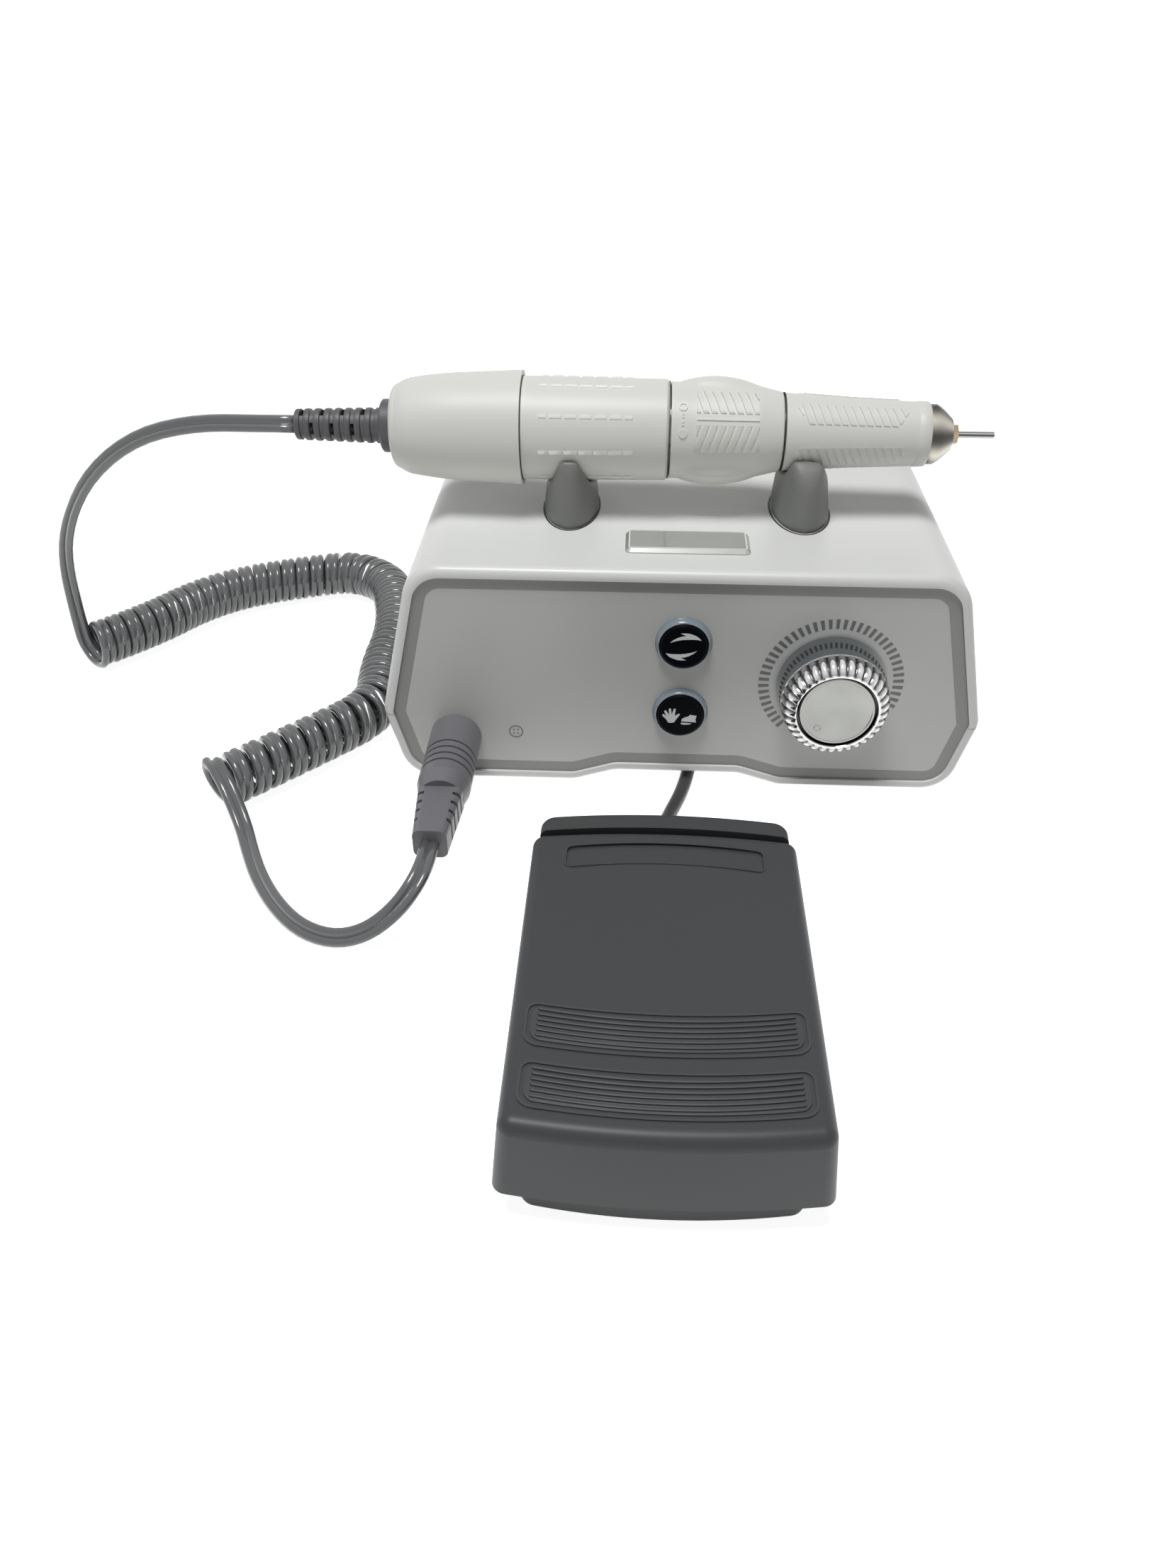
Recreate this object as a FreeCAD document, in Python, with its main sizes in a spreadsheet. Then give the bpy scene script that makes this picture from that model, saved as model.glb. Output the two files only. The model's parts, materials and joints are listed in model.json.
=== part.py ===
"""Dental bench micromotor: control box with a cradle, motor handpiece on a curly cord, and foot pedal.

Lengths are millimetres. X runs to the right, Y to the back and Z up. The origin lies on the bench under
the middle of box, pedal and handpiece together. Driving sizes are in the sheet "sizes"; every sub-part is
an object tied to them. Pieces that cut others reach a millimetre or two past the faces they cut.
"""
import FreeCAD, Part
import math
import os
import Sketcher
from FreeCAD import Placement, Rotation, Vector

SIZES = {
    # where the set lies on the bench
    "middle_x": 12.75,            # the middle of the control box
    "front_plane_y": 11.8,        # the front rim of the control box
    "bench_gap": 2.0,             # the box stands this high on its feet
    # control box shell
    "case_depth": 122.0,
    "case_height": 68.5,
    "case_wide_half": 85.0,       # half width at the widest line
    "case_wide_up": 22.8,         # height of the widest line above the bottom
    "case_top_in": 10.7,          # the top corner, before it is rounded, is so far inside the widest line
    "case_low_in": 5.8,           # and the bottom corner so far
    "bow_rise": 3.8,              # the bottom edge bows up by this in the middle
    "bow_flat_half": 18.0,
    "bow_foot_half": 30.0,
    "case_wall": 3.2,
    "rim_width": 3.0,
    "top_corner_r": 11.0,
    "wide_corner_r": 7.0,
    "low_corner_r": 10.0,
    "bow_corner_r": 8.0,
    "rim_edge_r": 2.4,
    "back_edge_r": 1.5,
    "seam_up": 22.0,              # the seam between the shells, above the bottom
    "seam_gap": 0.25,
    "panel_recess": 0.9,
    "panel_thick": 2.4,
    "panel_play": 0.1,
    "ledge_width": 3.0,
    "ledge_thick": 2.2,
    "back_panel_thick": 2.5,
    "back_ledge": 1.0,
    "back_inset": 0.8,
    # cradle on the top
    "rest_left_half": 8.0,
    "rest_right_half": 8.5,
    "rest_half_deep": 17.6,
    "rest_narrowing": 2.0,        # each side of a rest leans in by this towards its top
    "rest_left_x": -32.5,
    "rest_right_x": 33.4,
    "rest_rise": 18.8,
    "rest_knee": 6.0,             # above this the front and back faces bow inwards to a thin lip
    "rest_lip": 0.6,
    "rest_shoulder_up": 9.0,      # seen from the front, a rest rounds over from here to its top
    "rest_shoulder_bow": 0.7,
    "rest_crest": 0.6,
    "rest_left_shoulder": 7.6,
    "rest_left_top": 3.6,
    "rest_right_shoulder": 6.6,   # the right rest leans to the left
    "rest_right_top": 5.3,
    "rest_right_lean": 1.8,
    "rest_left_bow": 0.8,
    "rest_right_bow": 1.8,
    "rest_play": 0.3,
    # nameplate
    "nameplate_wide": 34.0,
    "nameplate_deep": 13.4,
    "nameplate_thick": 1.2,
    "nameplate_x": 0.6,
    "nameplate_back": 18.0,
    "nameplate_corner_r": 1.6,
    "nameplate_bevel": 0.9,
    # feet and screws
    "foot_r": 6.0,
    "foot_in": 23.0,              # from the box's widest line to the middle of a foot
    "foot_front": 16.0,
    "foot_back_in": 16.0,
    "foot_seat": 1.0,
    "screw_r": 1.4,
    "screw_head_r": 2.8,
    "screw_head": 1.8,
    "screw_length": 12.0,
    "screw_back": 12.0,
    "boss_r": 3.6,
    "boss_high": 4.0,
    "fit": 0.05,
    # push buttons
    "button_x": 0.3,
    "upper_button_up": 49.1,
    "lower_button_up": 26.9,
    "button_r": 6.6,
    "button_proud": 2.4,
    "button_edge_r": 0.6,
    "button_flange_thick": 1.2,
    "button_stem_r": 2.0,
    "button_travel": 1.0,
    "light_ring_r": 7.6,
    "light_ring_proud": 1.9,
    "light_ring_flange": 1.2,
    "light_ring_flange_thick": 1.0,
    "button_play": 0.15,
    "tact_side": 6.0,
    "tact_thick": 3.4,
    # speed knob
    "knob_in": 43.4,              # from the box's widest line, on the right, to the knob's axis
    "knob_up": 37.4,
    "skirt_r": 15.2,
    "skirt_top_r": 14.9,
    "skirt_high": 9.2,
    "skirt_gap": 0.3,
    "knob_r": 14.4,
    "knob_high": 6.0,
    "knob_edge_r": 3.0,
    "flute_count": 34.0,
    "flute_r": 1.0,
    "flute_out": 0.35,
    "cap_r": 10.4,
    "cap_thick": 0.9,
    "cap_sink": 0.5,
    "dimple_r": 1.0,
    "dimple_out": 7.6,
    "pot_r": 8.0,
    "pot_thick": 9.0,
    "pot_bush_r": 3.5,
    "pot_shaft_r": 3.0,
    "shaft_play": 0.05,
    # boards and transformer
    "board_thick": 1.6,
    "control_board_back": 13.0,
    "control_board_in": 19.0,
    "control_board_low": 12.0,
    "control_board_drop": 8.5,
    "standoff_r": 2.5,
    "core_long": 38.0,
    "core_deep": 34.0,
    "core_high": 38.0,
    "core_limb": 9.0,
    "core_x": 32.5,
    "core_back_in": 74.0,         # from the box's back edge to the front of the core
    "winding_play": 0.4,
    # motor socket and plug
    "plug_in": 20.7,              # from the box's widest line, on the left, to the plug's axis
    "plug_up": 16.7,
    "plug_r": 7.35,
    "plug_body": 26.0,
    "plug_groove": 0.45,
    "plug_groove_first": 12.8,
    "plug_groove_step": 3.0,
    "plug_groove_wide": 0.8,
    "plug_nose": 30.9,
    "plug_nose_r": 6.2,
    "plug_relief_long": 19.4,
    "plug_relief_half": 6.1,
    "plug_relief_end_half": 4.5,
    "plug_relief_thick": 8.6,
    "plug_relief_edge_r": 2.0,
    "plug_slot_first": 2.4,
    "plug_slot_step": 3.7,
    "plug_slot_wide": 1.1,
    "plug_slot_deep": 1.5,
    "shell_r": 5.2,
    "shell_deep": 8.0,
    "socket_r": 6.5,
    "socket_nut_r": 8.0,
    "socket_nut": 2.2,
    "socket_deep": 14.0,
    # back panel pieces
    "inlet_wide": 24.0,
    "inlet_high": 20.0,
    "inlet_in": 37.0,
    "inlet_up": 36.0,
    "inlet_deep": 16.0,
    "inlet_flange": 2.0,
    "inlet_pocket": 12.0,
    "inlet_wall": 2.5,
    "inlet_lip": 2.0,
    "inlet_pin_wide": 2.0,
    "inlet_pin_high": 4.0,
    "inlet_pin_apart": 6.0,
    "inlet_pin_low": 1.5,
    "inlet_pin_raised": 2.5,
    "switch_wide": 13.0,
    "switch_high": 22.0,
    "switch_x": 18.0,
    "switch_up": 36.0,
    "rocker_wide": 9.0,
    "rocker_half_high": 7.2,
    "rocker_dip": 2.0,
    "rocker_thick": 1.6,
    "rocker_round": 1.2,
    "rocker_root": 4.0,
    "rocker_root_half": 2.0,
    "rocker_tilt": 10.0,
    "switch_wall": 1.6,
    "switch_deep": 14.0,
    "rocker_play": 0.35,
    "rocker_proud": 2.2,
    "jack_in": 25.0,
    "jack_up": 22.0,
    "jack_r": 4.0,
    "jack_nut_r": 5.6,
    "jack_nut": 1.6,
    "jack_bore_r": 1.85,
    "jack_deep": 16.0,
    # handpiece, along X
    "axis_back": 43.0,
    "axis_above": 22.8,           # the handpiece's axis above the top of the box
    "boot_end_x": -110.5,
    "boot_small_r": 4.2,
    "boot_large_r": 4.9,
    "boot_groove": 0.7,
    "boot_groove_wide": 1.1,
    "boot_groove_first": 1.6,
    "boot_groove_step": 2.9,
    "boot_grooves": 7.0,
    "collar_x": -86.0,
    "collar_r": 7.3,
    "cap_end_x": -82.6,
    "cap_end_r": 9.6,
    "cap_shoulder_r": 11.6,
    "cap_knee_r": 13.1,
    "cap_mid_r": 14.6,
    "cap_lip_r": 15.5,
    "cap_shoulder": 1.8,
    "cap_knee": 5.2,
    "cap_mid": 18.6,
    "cap_lip_x": -46.0,
    "cap_wall": 1.2,
    "cap_shoulder_bow": 0.45,
    "cap_bow": 0.2,
    "motor_back_x": -50.0,
    "motor_r": 14.05,
    "motor_front_r": 13.6,
    "motor_front_x": -5.2,
    "motor_chamfer": 0.9,
    "motor_bore_r": 12.2,
    "ring_front_x": 26.0,
    "joint_gap": 0.3,
    "ring_back_r": 13.0,
    "ring_mid_r": 12.3,
    "ring_front_r": 10.6,
    "ring_mid_x": 19.0,
    "lobe_r": 14.6,
    "lobe_half_angle": 30.0,
    "lobe_turn": 115.0,
    "lobe_margin": 1.6,
    "lobe_sink": 0.33,
    "ring_play": 0.06,
    "ring_neck_x": 17.8,
    "sleeve_r": 10.3,
    "sleeve_neck_r": 8.65,
    "sleeve_bore_r": 7.6,
    "sleeve_back_x": -9.0,
    "sleeve_front_x": 32.0,
    "grip_back_r": 10.5,
    "grip_mid_r": 9.3,
    "grip_front_r": 8.5,
    "grip_mid_x": 45.3,
    "grip_front_x": 66.1,
    "grip_bore_r": 6.5,
    "nose_r": 8.1,
    "nose_bevel_x": 70.0,
    "nose_tip_x": 72.8,
    "nose_tip_r": 4.2,
    "nose_hole_r": 3.15,
    "nose_spigot": 5.0,
    "nose_wall": 2.0,
    "nut_tip_x": 74.6,
    "nut_across": 4.8,
    "nut_deep": 5.0,
    "bar_tip_x": 85.0,
    "bar_r": 0.9,
    "bar_shank_r": 1.175,
    "bar_step": 0.6,
    "bar_bevel": 0.3,
    "bar_inside": 22.0,
    "collet_r": 2.8,
    "collet_back_x": 48.0,
    "shaft_r": 1.5,
    "shaft_back_x": -47.0,
    "spindle_r": 3.9,
    "spindle_back_x": 34.0,
    "spindle_front_x": 62.0,
    "rotor_r": 6.9,
    "rotor_back_x": -32.0,
    "rotor_front_x": -11.0,
    "rotor_slots": 5.0,
    "slot_r": 1.5,
    "commutator_r": 3.2,
    "commutator_back_x": -40.5,
    "magnet_gap": 0.5,
    "magnet_split": 3.0,
    "magnet_past": 1.0,           # the magnets reach past the rotor by this at each end
    "bearing_wide": 4.0,
    "small_bearing_r": 4.5,
    "holder_back_x": -48.5,
    "brush_wide": 4.0,
    "brush_thick": 3.0,
    "brush_gap": 0.3,
    "cam_back_x": 4.0,
    "cam_long": 12.0,
    "cam_wall": 1.3,
    "cam_play": 0.06,
    # handpiece cord
    "cord_d": 4.2,
    "coil_outer_d": 16.2,
    "coil_open": 0.27,            # how much wider the turns lie at the front end
    "coil_lift": 0.1,
    # pedal cable
    "cable_d": 4.0,
    "cable_loop_step": 4.6,
    "cable_layer_step": 4.7,
    "cable_loop_in": 14.0,
    "cable_loops": 4.0,
    "cable_lift": 0.1,
    # foot pedal
    "pedal_x": -4.6,
    "pedal_back": -50.0,
    "pedal_front": -148.6,
    "pedal_half": 33.5,
    "pedal_high": 30.0,
    "pedal_top_half": 31.5,
    "pedal_bow": 2.6,
    "pedal_edge_r": 3.0,
    "pedal_tail_edge_r": 2.0,
    "tail_corner_r": 4.0,
    "tail_step": 0.3,
    "pedal_wall": 2.2,
    "cover_low": 9.2,
    "cover_back": -57.4,
    "base_inset": 5.0,
    "base_front_out": 1.9,
    "base_corner_r": 3.6,
    "bridge_inset": 6.0,
    "bridge_lap": 3.0,
    "base_floor": 2.5,
    "base_tail_half": 31.2,
    "base_tail_front": -56.4,
    "base_rib": 2.0,
    "pedal_foot_r": 5.0,
    "pedal_foot_high": 1.5,
    "pedal_foot_sink": 0.6,
    "pedal_foot_x": 20.0,
    "pedal_foot_back": -72.0,
    "pedal_foot_front": -134.0,
    "pivot_back": -70.0,
    "pivot_up": 20.0,
    "pivot_r": 1.5,
    "pivot_play": 0.06,
    "pivot_gap": 0.5,
    "ear_x": 17.0,
    "ear_thick": 3.0,
    "ear_r": 4.0,
    "label_half": 23.3,
    "label_back": -62.6,
    "label_deep": 8.0,
    "label_sink": 0.5,
    "label_corner_r": 1.8,
    "grip_half": 27.2,
    "grip_deep": 9.0,
    "grip_high": 0.8,
    "grip_first": -116.6,
    "grip_second": -131.8,
    "grip_bow": 2.1,
    "spring_r": 4.5,
    "spring_wire": 0.9,
    "spring_turns": 7.0,
    "spring_back": -120.0,
    "spring_x": 18.0,
    "switch_body_long": 20.0,
    "switch_body_thick": 6.4,
    "switch_body_high": 10.0,
    "switch_body_back": -112.0,
    "gland_r": 4.6,
    "gland_end_r": 3.0,
    "gland_long": 9.0,
    "gland_up": 9.0,
    "gland_seat": 4.0,
    "pedal_plug_r": 4.6,
    "pedal_plug_long": 22.0,
}

FINE = 0.4                        # the least gap that a wound cord keeps to itself


class Size:
    """A number that also knows the sheet expression it comes from."""

    def __init__(self, number, text):
        self.number = float(number)
        self.text = text

    def __add__(self, other):
        return joined(self, "+", other)

    def __radd__(self, other):
        return joined(other, "+", self)

    def __sub__(self, other):
        return joined(self, "-", other)

    def __rsub__(self, other):
        return joined(other, "-", self)

    def __mul__(self, other):
        return joined(self, "*", other)

    def __rmul__(self, other):
        return joined(other, "*", self)

    def __truediv__(self, other):
        return joined(self, "/", other)

    def __neg__(self):
        return Size(-self.number, f"-({self.text})")

    def __float__(self):
        return self.number


def joined(left, sign, right):
    left, right = as_size(left), as_size(right)
    number = {
        "+": lambda: left.number + right.number,
        "-": lambda: left.number - right.number,
        "*": lambda: left.number * right.number,
        "/": lambda: left.number / right.number,
    }[sign]()
    return Size(number, f"({left.text} {sign} {right.text})")


def as_size(value):
    return value if isinstance(value, Size) else Size(value, f"{float(value):g}")


class Named:
    """The sheet's sizes by name, as Size objects."""

    def __init__(self, table):
        for name, number in table.items():
            setattr(self, name, Size(number, f"sizes.{name}"))


doc = FreeCAD.newDocument("dental_micromotor")
sheet = doc.addObject("Spreadsheet::Sheet", "sizes")
for row, (alias, number) in enumerate(SIZES.items(), start=1):
    sheet.set(f"A{row}", alias)
    sheet.set(f"B{row}", f"{number:g}")
    sheet.setAlias(f"B{row}", alias)
doc.recompute()
S = Named(SIZES)
NODES = []

AXES = {
    "Z": Rotation(),
    "X": Rotation(Vector(0, 1, 0), 90),
    "Y": Rotation(Vector(1, 0, 0), -90),
    "to_front": Rotation(Vector(0, 0, 1), -90),
    "to_back": Rotation(Vector(0, 0, 1), 90),
}


def tie(obj, prop, value):
    """Binds a property to the sheet."""
    obj.setExpression(prop, as_size(value).text)


def put(obj, at, axis="Z"):
    """Places an object at a point tied to the sheet, whose X counts from the middle of the box."""
    at = (S.middle_x + at[0], at[1], at[2])
    obj.Placement = Placement(Vector(*[float(c) for c in at]), AXES[axis])
    for letter, value in zip("xyz", at):
        tie(obj, f".Placement.Base.{letter}", value)
    return obj


def node(label, obj):
    """Keeps an object as the sub-part of that name."""
    obj.Label = label
    NODES.append(obj)
    return obj


def rod(name, radius, length, at, axis="Z"):
    obj = doc.addObject("Part::Cylinder", name)
    tie(obj, "Radius", radius)
    tie(obj, "Height", length)
    return put(obj, at, axis)


def brick(name, long, deep, high, at):
    obj = doc.addObject("Part::Box", name)
    tie(obj, "Length", long)
    tie(obj, "Width", deep)
    tie(obj, "Height", high)
    return put(obj, at)


def fused(name, *pieces):
    obj = doc.addObject("Part::MultiFuse", name)
    obj.Shapes = list(pieces)
    return obj


def cut(name, base, *tools):
    tool = tools[0] if len(tools) == 1 else fused(name + "_tools", *tools)
    obj = doc.addObject("Part::Cut", name)
    obj.Base, obj.Tool = base, tool
    return obj


def common(name, base, tool):
    obj = doc.addObject("Part::Common", name)
    obj.Base, obj.Tool = base, tool
    return obj


def group(name, *pieces):
    """Identical separate solids in one sub-part."""
    obj = doc.addObject("Part::Compound", name)
    obj.Links = list(pieces)
    return obj


def plane_of(body, role):
    return next(o for o in body.Origin.OriginFeatures if o.Role == role)


def bowed(start, stop, rise):
    """An arc that bulges to the right of start to stop where rise is positive, else to the left."""
    along = stop - start
    radius = along.Length ** 2 / (8 * abs(rise)) + abs(rise) / 2
    side = Vector(along.y, -along.x, 0).normalize() * math.copysign(1, rise)
    centre = (start + stop) * 0.5 - side * (radius - abs(rise))
    angles = [math.atan2(p.y - centre.y, p.x - centre.x) for p in (start, stop)]
    first, last = angles if rise > 0 else reversed(angles)
    last += 2 * math.pi if last < first else 0
    return Part.ArcOfCircle(Part.Circle(centre, Vector(0, 0, 1), radius), first, last)


def drawn(body, name, plane, corners, bulges=None):
    """A closed sketch through corners tied to the sheet; bulges gives a side's arc rise by its index."""
    sketch = body.newObject("Sketcher::SketchObject", name)
    sketch.AttachmentSupport = (plane_of(body, plane), [""])
    sketch.MapMode = "FlatFace"
    bulges = bulges or {}
    points = [Vector(float(x), float(y), 0) for x, y in corners]
    count = len(points)
    ends = []
    for i, start in enumerate(points):
        stop = points[(i + 1) % count]
        if i not in bulges:
            sketch.addGeometry(Part.LineSegment(start, stop), False)
            ends.append((1, 2))
            continue
        rise = float(bulges[i])
        sketch.addGeometry(bowed(start, stop, rise), False)
        ends.append((1, 2) if rise > 0 else (2, 1))
    for i in range(count):
        after = (i + 1) % count
        sketch.addConstraint(Sketcher.Constraint("Coincident", i, ends[i][1], after, ends[after][0]))
    for i, corner in enumerate(corners):
        for kind, value in zip(("DistanceX", "DistanceY"), corner):
            value = as_size(value)
            at = sketch.addConstraint(
                Sketcher.Constraint(kind, -1, 1, i, ends[i][0], value.number)
            )
            sketch.setExpression(f"Constraints[{at}]", value.text)
    for i, rise in bulges.items():
        radius = abs(sketch.Geometry[i].Radius)
        at = sketch.addConstraint(Sketcher.Constraint("Radius", i, radius))
        chord = [as_size(b) - a for a, b in zip(corners[i], corners[(i + 1) % count])]
        rise = as_size(rise)
        square = f"(({chord[0].text})^2 + ({chord[1].text})^2)"
        sketch.setExpression(
            f"Constraints[{at}]", f"{square} / 8 / abs({rise.text}) + abs({rise.text}) / 2"
        )
    return sketch


def turned(name, corners, at=None, bulges=None, axis="Z"):
    """A piece turned about the handpiece axis, or about a line through at."""
    body = doc.addObject("PartDesign::Body", name)
    sketch = drawn(body, name + "_profile", "XY_Plane", corners, bulges)
    turn = body.newObject("PartDesign::Revolution", name + "_turned")
    turn.Profile = sketch
    turn.ReferenceAxis = (sketch, ["H_Axis"])
    turn.Angle = 360
    return put(body, at or (0, AXIS_Y, AXIS_UP), axis)


def facing(name, corners, at):
    """A piece turned about a line along Y; its profile's first number runs from at towards the front."""
    return turned(name, corners, at, None, "to_front")


def facing_back(name, corners, at):
    """A piece turned about a line along Y; its profile's first number runs from at to the back."""
    return turned(name, corners, at, None, "to_back")


def plate(name, plane, corners, thick, at, bulges=None, back=False):
    """A piece padded from a sketch on a plane of its own."""
    body = doc.addObject("PartDesign::Body", name)
    sketch = drawn(body, name + "_outline", plane, corners, bulges)
    pad = body.newObject("PartDesign::Pad", name + "_pad")
    pad.Profile = sketch
    tie(pad, "Length", thick)
    pad.Reversed = back
    return put(body, at)


def round_edges(body, radius, wanted, tool="PartDesign::Fillet"):
    """Rounds or bevels the edges of a body's last feature that wanted picks."""
    doc.recompute()
    last = body.Tip
    names = [f"Edge{i}" for i, e in enumerate(last.Shape.Edges, start=1) if wanted(e)]
    if not names:
        raise ValueError(f"{body.Name}: no edge to round")
    piece = body.newObject(tool, f"{body.Name}_edge")
    piece.Base = (last, names)
    tie(piece, "Radius" if tool.endswith("Fillet") else "Size", radius)
    doc.recompute()
    return piece


def softened(name, base, radius, wanted):
    """A copy of a boolean result with the edges that wanted picks rounded."""
    doc.recompute()
    obj = doc.addObject("Part::Fillet", name)
    obj.Base = base
    size_now = float(radius)
    obj.Edges = [(i, size_now, size_now) for i, e in enumerate(base.Shape.Edges, start=1) if wanted(e)]
    return obj


def runs_along(edge, axis):
    ends = [v.Point for v in edge.Vertexes]
    if len(ends) != 2:
        return False
    way = ends[1] - ends[0]
    return way.Length > 1e-6 and abs(abs(way[axis]) - way.Length) < 1e-6


def lies_at(edge, axis, value):
    box = edge.BoundBox
    low = (box.XMin, box.YMin, box.ZMin)[axis]
    high = (box.XMax, box.YMax, box.ZMax)[axis]
    return abs(low - float(value)) < 1e-4 and abs(high - float(value)) < 1e-4


def from_front(back):
    """The Y of something that lies so far behind the front rim."""
    return S.front_plane_y + back


CASE_BOTTOM = S.bench_gap
CASE_TOP = S.bench_gap + S.case_height
SEAM = S.bench_gap + S.seam_up
AXIS_UP = CASE_TOP + S.axis_above
AXIS_Y = from_front(S.axis_back)
PLUG_X = S.plug_in - S.case_wide_half
KNOB_X = S.case_wide_half - S.knob_in
JACK_X = S.jack_in - S.case_wide_half
INLET_X = S.case_wide_half - S.inlet_in
BOARD_TOP = CASE_TOP - S.control_board_drop
BOARD_HALF = S.case_wide_half - S.control_board_in


def case_corners(inset):
    """The right half of the box outline and its mirror, moved inwards by inset."""
    side_slope = S.case_top_in / (S.case_height - S.case_wide_up)
    low_slope = S.case_low_in / S.case_wide_up
    half = [
        (S.case_wide_half - S.case_top_in + inset * side_slope - inset, CASE_TOP - inset),
        (S.case_wide_half - inset, CASE_BOTTOM + S.case_wide_up),
        (S.case_wide_half - S.case_low_in + inset * low_slope - inset, CASE_BOTTOM + inset),
        (S.bow_foot_half, CASE_BOTTOM + inset),
        (S.bow_flat_half, CASE_BOTTOM + S.bow_rise + inset),
    ]
    return half + [(-x, z) for x, z in reversed(half)]


def case_block(name, inset, start, length):
    """The box outline as a solid from start behind the rim, with its corners rounded."""
    body = plate(name, "XZ_Plane", case_corners(inset), length, (0, from_front(start), 0), back=True)
    corners = case_corners(inset)
    rounds = [
        (S.top_corner_r - inset, corners[:1]),
        (S.wide_corner_r - inset, corners[1:2]),
        (S.low_corner_r - inset, corners[2:3]),
        (S.bow_corner_r, corners[3:5]),
    ]
    for radius, places in rounds:
        spots = [(abs(float(x)), float(z)) for x, z in places]
        round_edges(body, radius, lambda e, spots=spots: runs_along(e, 1) and stands_at(e, spots))
    return body


def stands_at(edge, spots):
    box = edge.BoundBox
    return any(abs(abs(box.XMin) - x) < 1e-3 and abs(box.ZMin - z) < 1e-3 for x, z in spots)


def screw_places():
    return [
        (x, y + (S.screw_back if i < 2 else -S.screw_back)) for i, (x, y) in enumerate(foot_places())
    ]


def housings():
    """The two shells of the box, their screws and feet."""
    nothing = Size(0, "0")
    outer = case_block("case_outer", nothing, nothing, S.case_depth)
    round_edges(outer, S.rim_edge_r, lambda e: lies_at(e, 1, 0))
    round_edges(outer, S.back_edge_r, lambda e: lies_at(e, 1, S.case_depth))
    ledge_end = PANEL_BACK + S.ledge_thick
    back_seat = S.case_depth - S.back_inset - S.back_panel_thick
    pocket = case_block("panel_pocket", S.rim_width, Size(-1, "-1"), PANEL_BACK + 1)
    window = case_block("ledge_window", S.rim_width + S.ledge_width, PANEL_BACK, S.ledge_thick)
    cavity = case_block("case_cavity", S.case_wall, ledge_end, back_seat - ledge_end)
    mouth = case_block("back_pocket", S.case_wall - S.back_ledge, back_seat, S.case_depth - back_seat + 1)
    shell = cut("case_shell", outer, pocket, window, cavity, mouth)
    margin = 5
    wide = (S.case_wide_half + margin) * 2
    deep = S.case_depth + margin * 2
    corner = (-wide / 2, from_front(-margin))
    above = brick("above_seam", wide, deep, S.case_height - S.seam_up + margin, (*corner, SEAM))
    high = S.seam_up - S.seam_gap + margin
    below = brick("below_seam", wide, deep, high, (*corner, CASE_BOTTOM - margin))
    floor_top = CASE_BOTTOM + S.case_wall
    sunk = S.case_wall / 2
    boss_top = floor_top + S.boss_high
    screw_top = CASE_BOTTOM + S.screw_length
    posts, taps, bosses, holes, screws, feet = [], [], [], [], [], []
    for i, (x, y) in enumerate(screw_places()):
        post_low = boss_top + S.seam_gap
        posts.append(rod(f"post{i}", S.boss_r, CASE_TOP - sunk - post_low, (x, y, post_low)))
        taps.append(rod(f"tap{i}", S.screw_r + S.fit, screw_top - post_low + 2, (x, y, post_low - 1)))
        bosses.append(rod(f"boss{i}", S.boss_r, S.boss_high + sunk, (x, y, floor_top - sunk)))
        below_box = (x, y, CASE_BOTTOM - 1)
        holes.append(rod(f"boss_hole{i}", S.screw_r + S.fit, S.screw_length * 2, below_box))
        holes.append(rod(f"boss_sink{i}", S.screw_head_r + S.fit, S.screw_head + 1, below_box))
        shank_long = S.screw_length - S.screw_head
        shank = rod(f"screw_shank{i}", S.screw_r, shank_long, (x, y, CASE_BOTTOM + S.screw_head))
        head = rod(f"screw_head{i}", S.screw_head_r, S.screw_head, (x, y, CASE_BOTTOM))
        screws.append(fused(f"case_screw{i}", shank, head))
    for i, (x, y) in enumerate(foot_places()):
        holes.append(rod(f"foot_seat{i}", S.foot_r + S.fit, S.foot_seat + 1, (x, y, CASE_BOTTOM - 1)))
        feet.append(rod(f"foot{i}", S.foot_r, S.bench_gap + S.foot_seat, (x, y, 0)))
    upper = fused("upper_posts", common("upper_shell", shell, above), *posts)
    node("upper_housing", cut("upper_tapped", upper, *taps))
    lower = fused("lower_bosses", common("lower_shell", shell, below), *bosses)
    node("lower_housing", cut("lower_bored", lower, *holes))
    node("rubber_feet", group("feet", *feet))
    node("housing_screws", group("screws", *screws))


def foot_places():
    """Front left, front right, back left and back right."""
    x = S.case_wide_half - S.foot_in
    backs = (S.foot_front, S.case_depth - S.foot_back_in)
    return [(side * x, from_front(back)) for back in backs for side in (-1, 1)]


PANEL_FACE = S.panel_recess
PANEL_BACK = S.panel_recess + S.panel_thick


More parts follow.
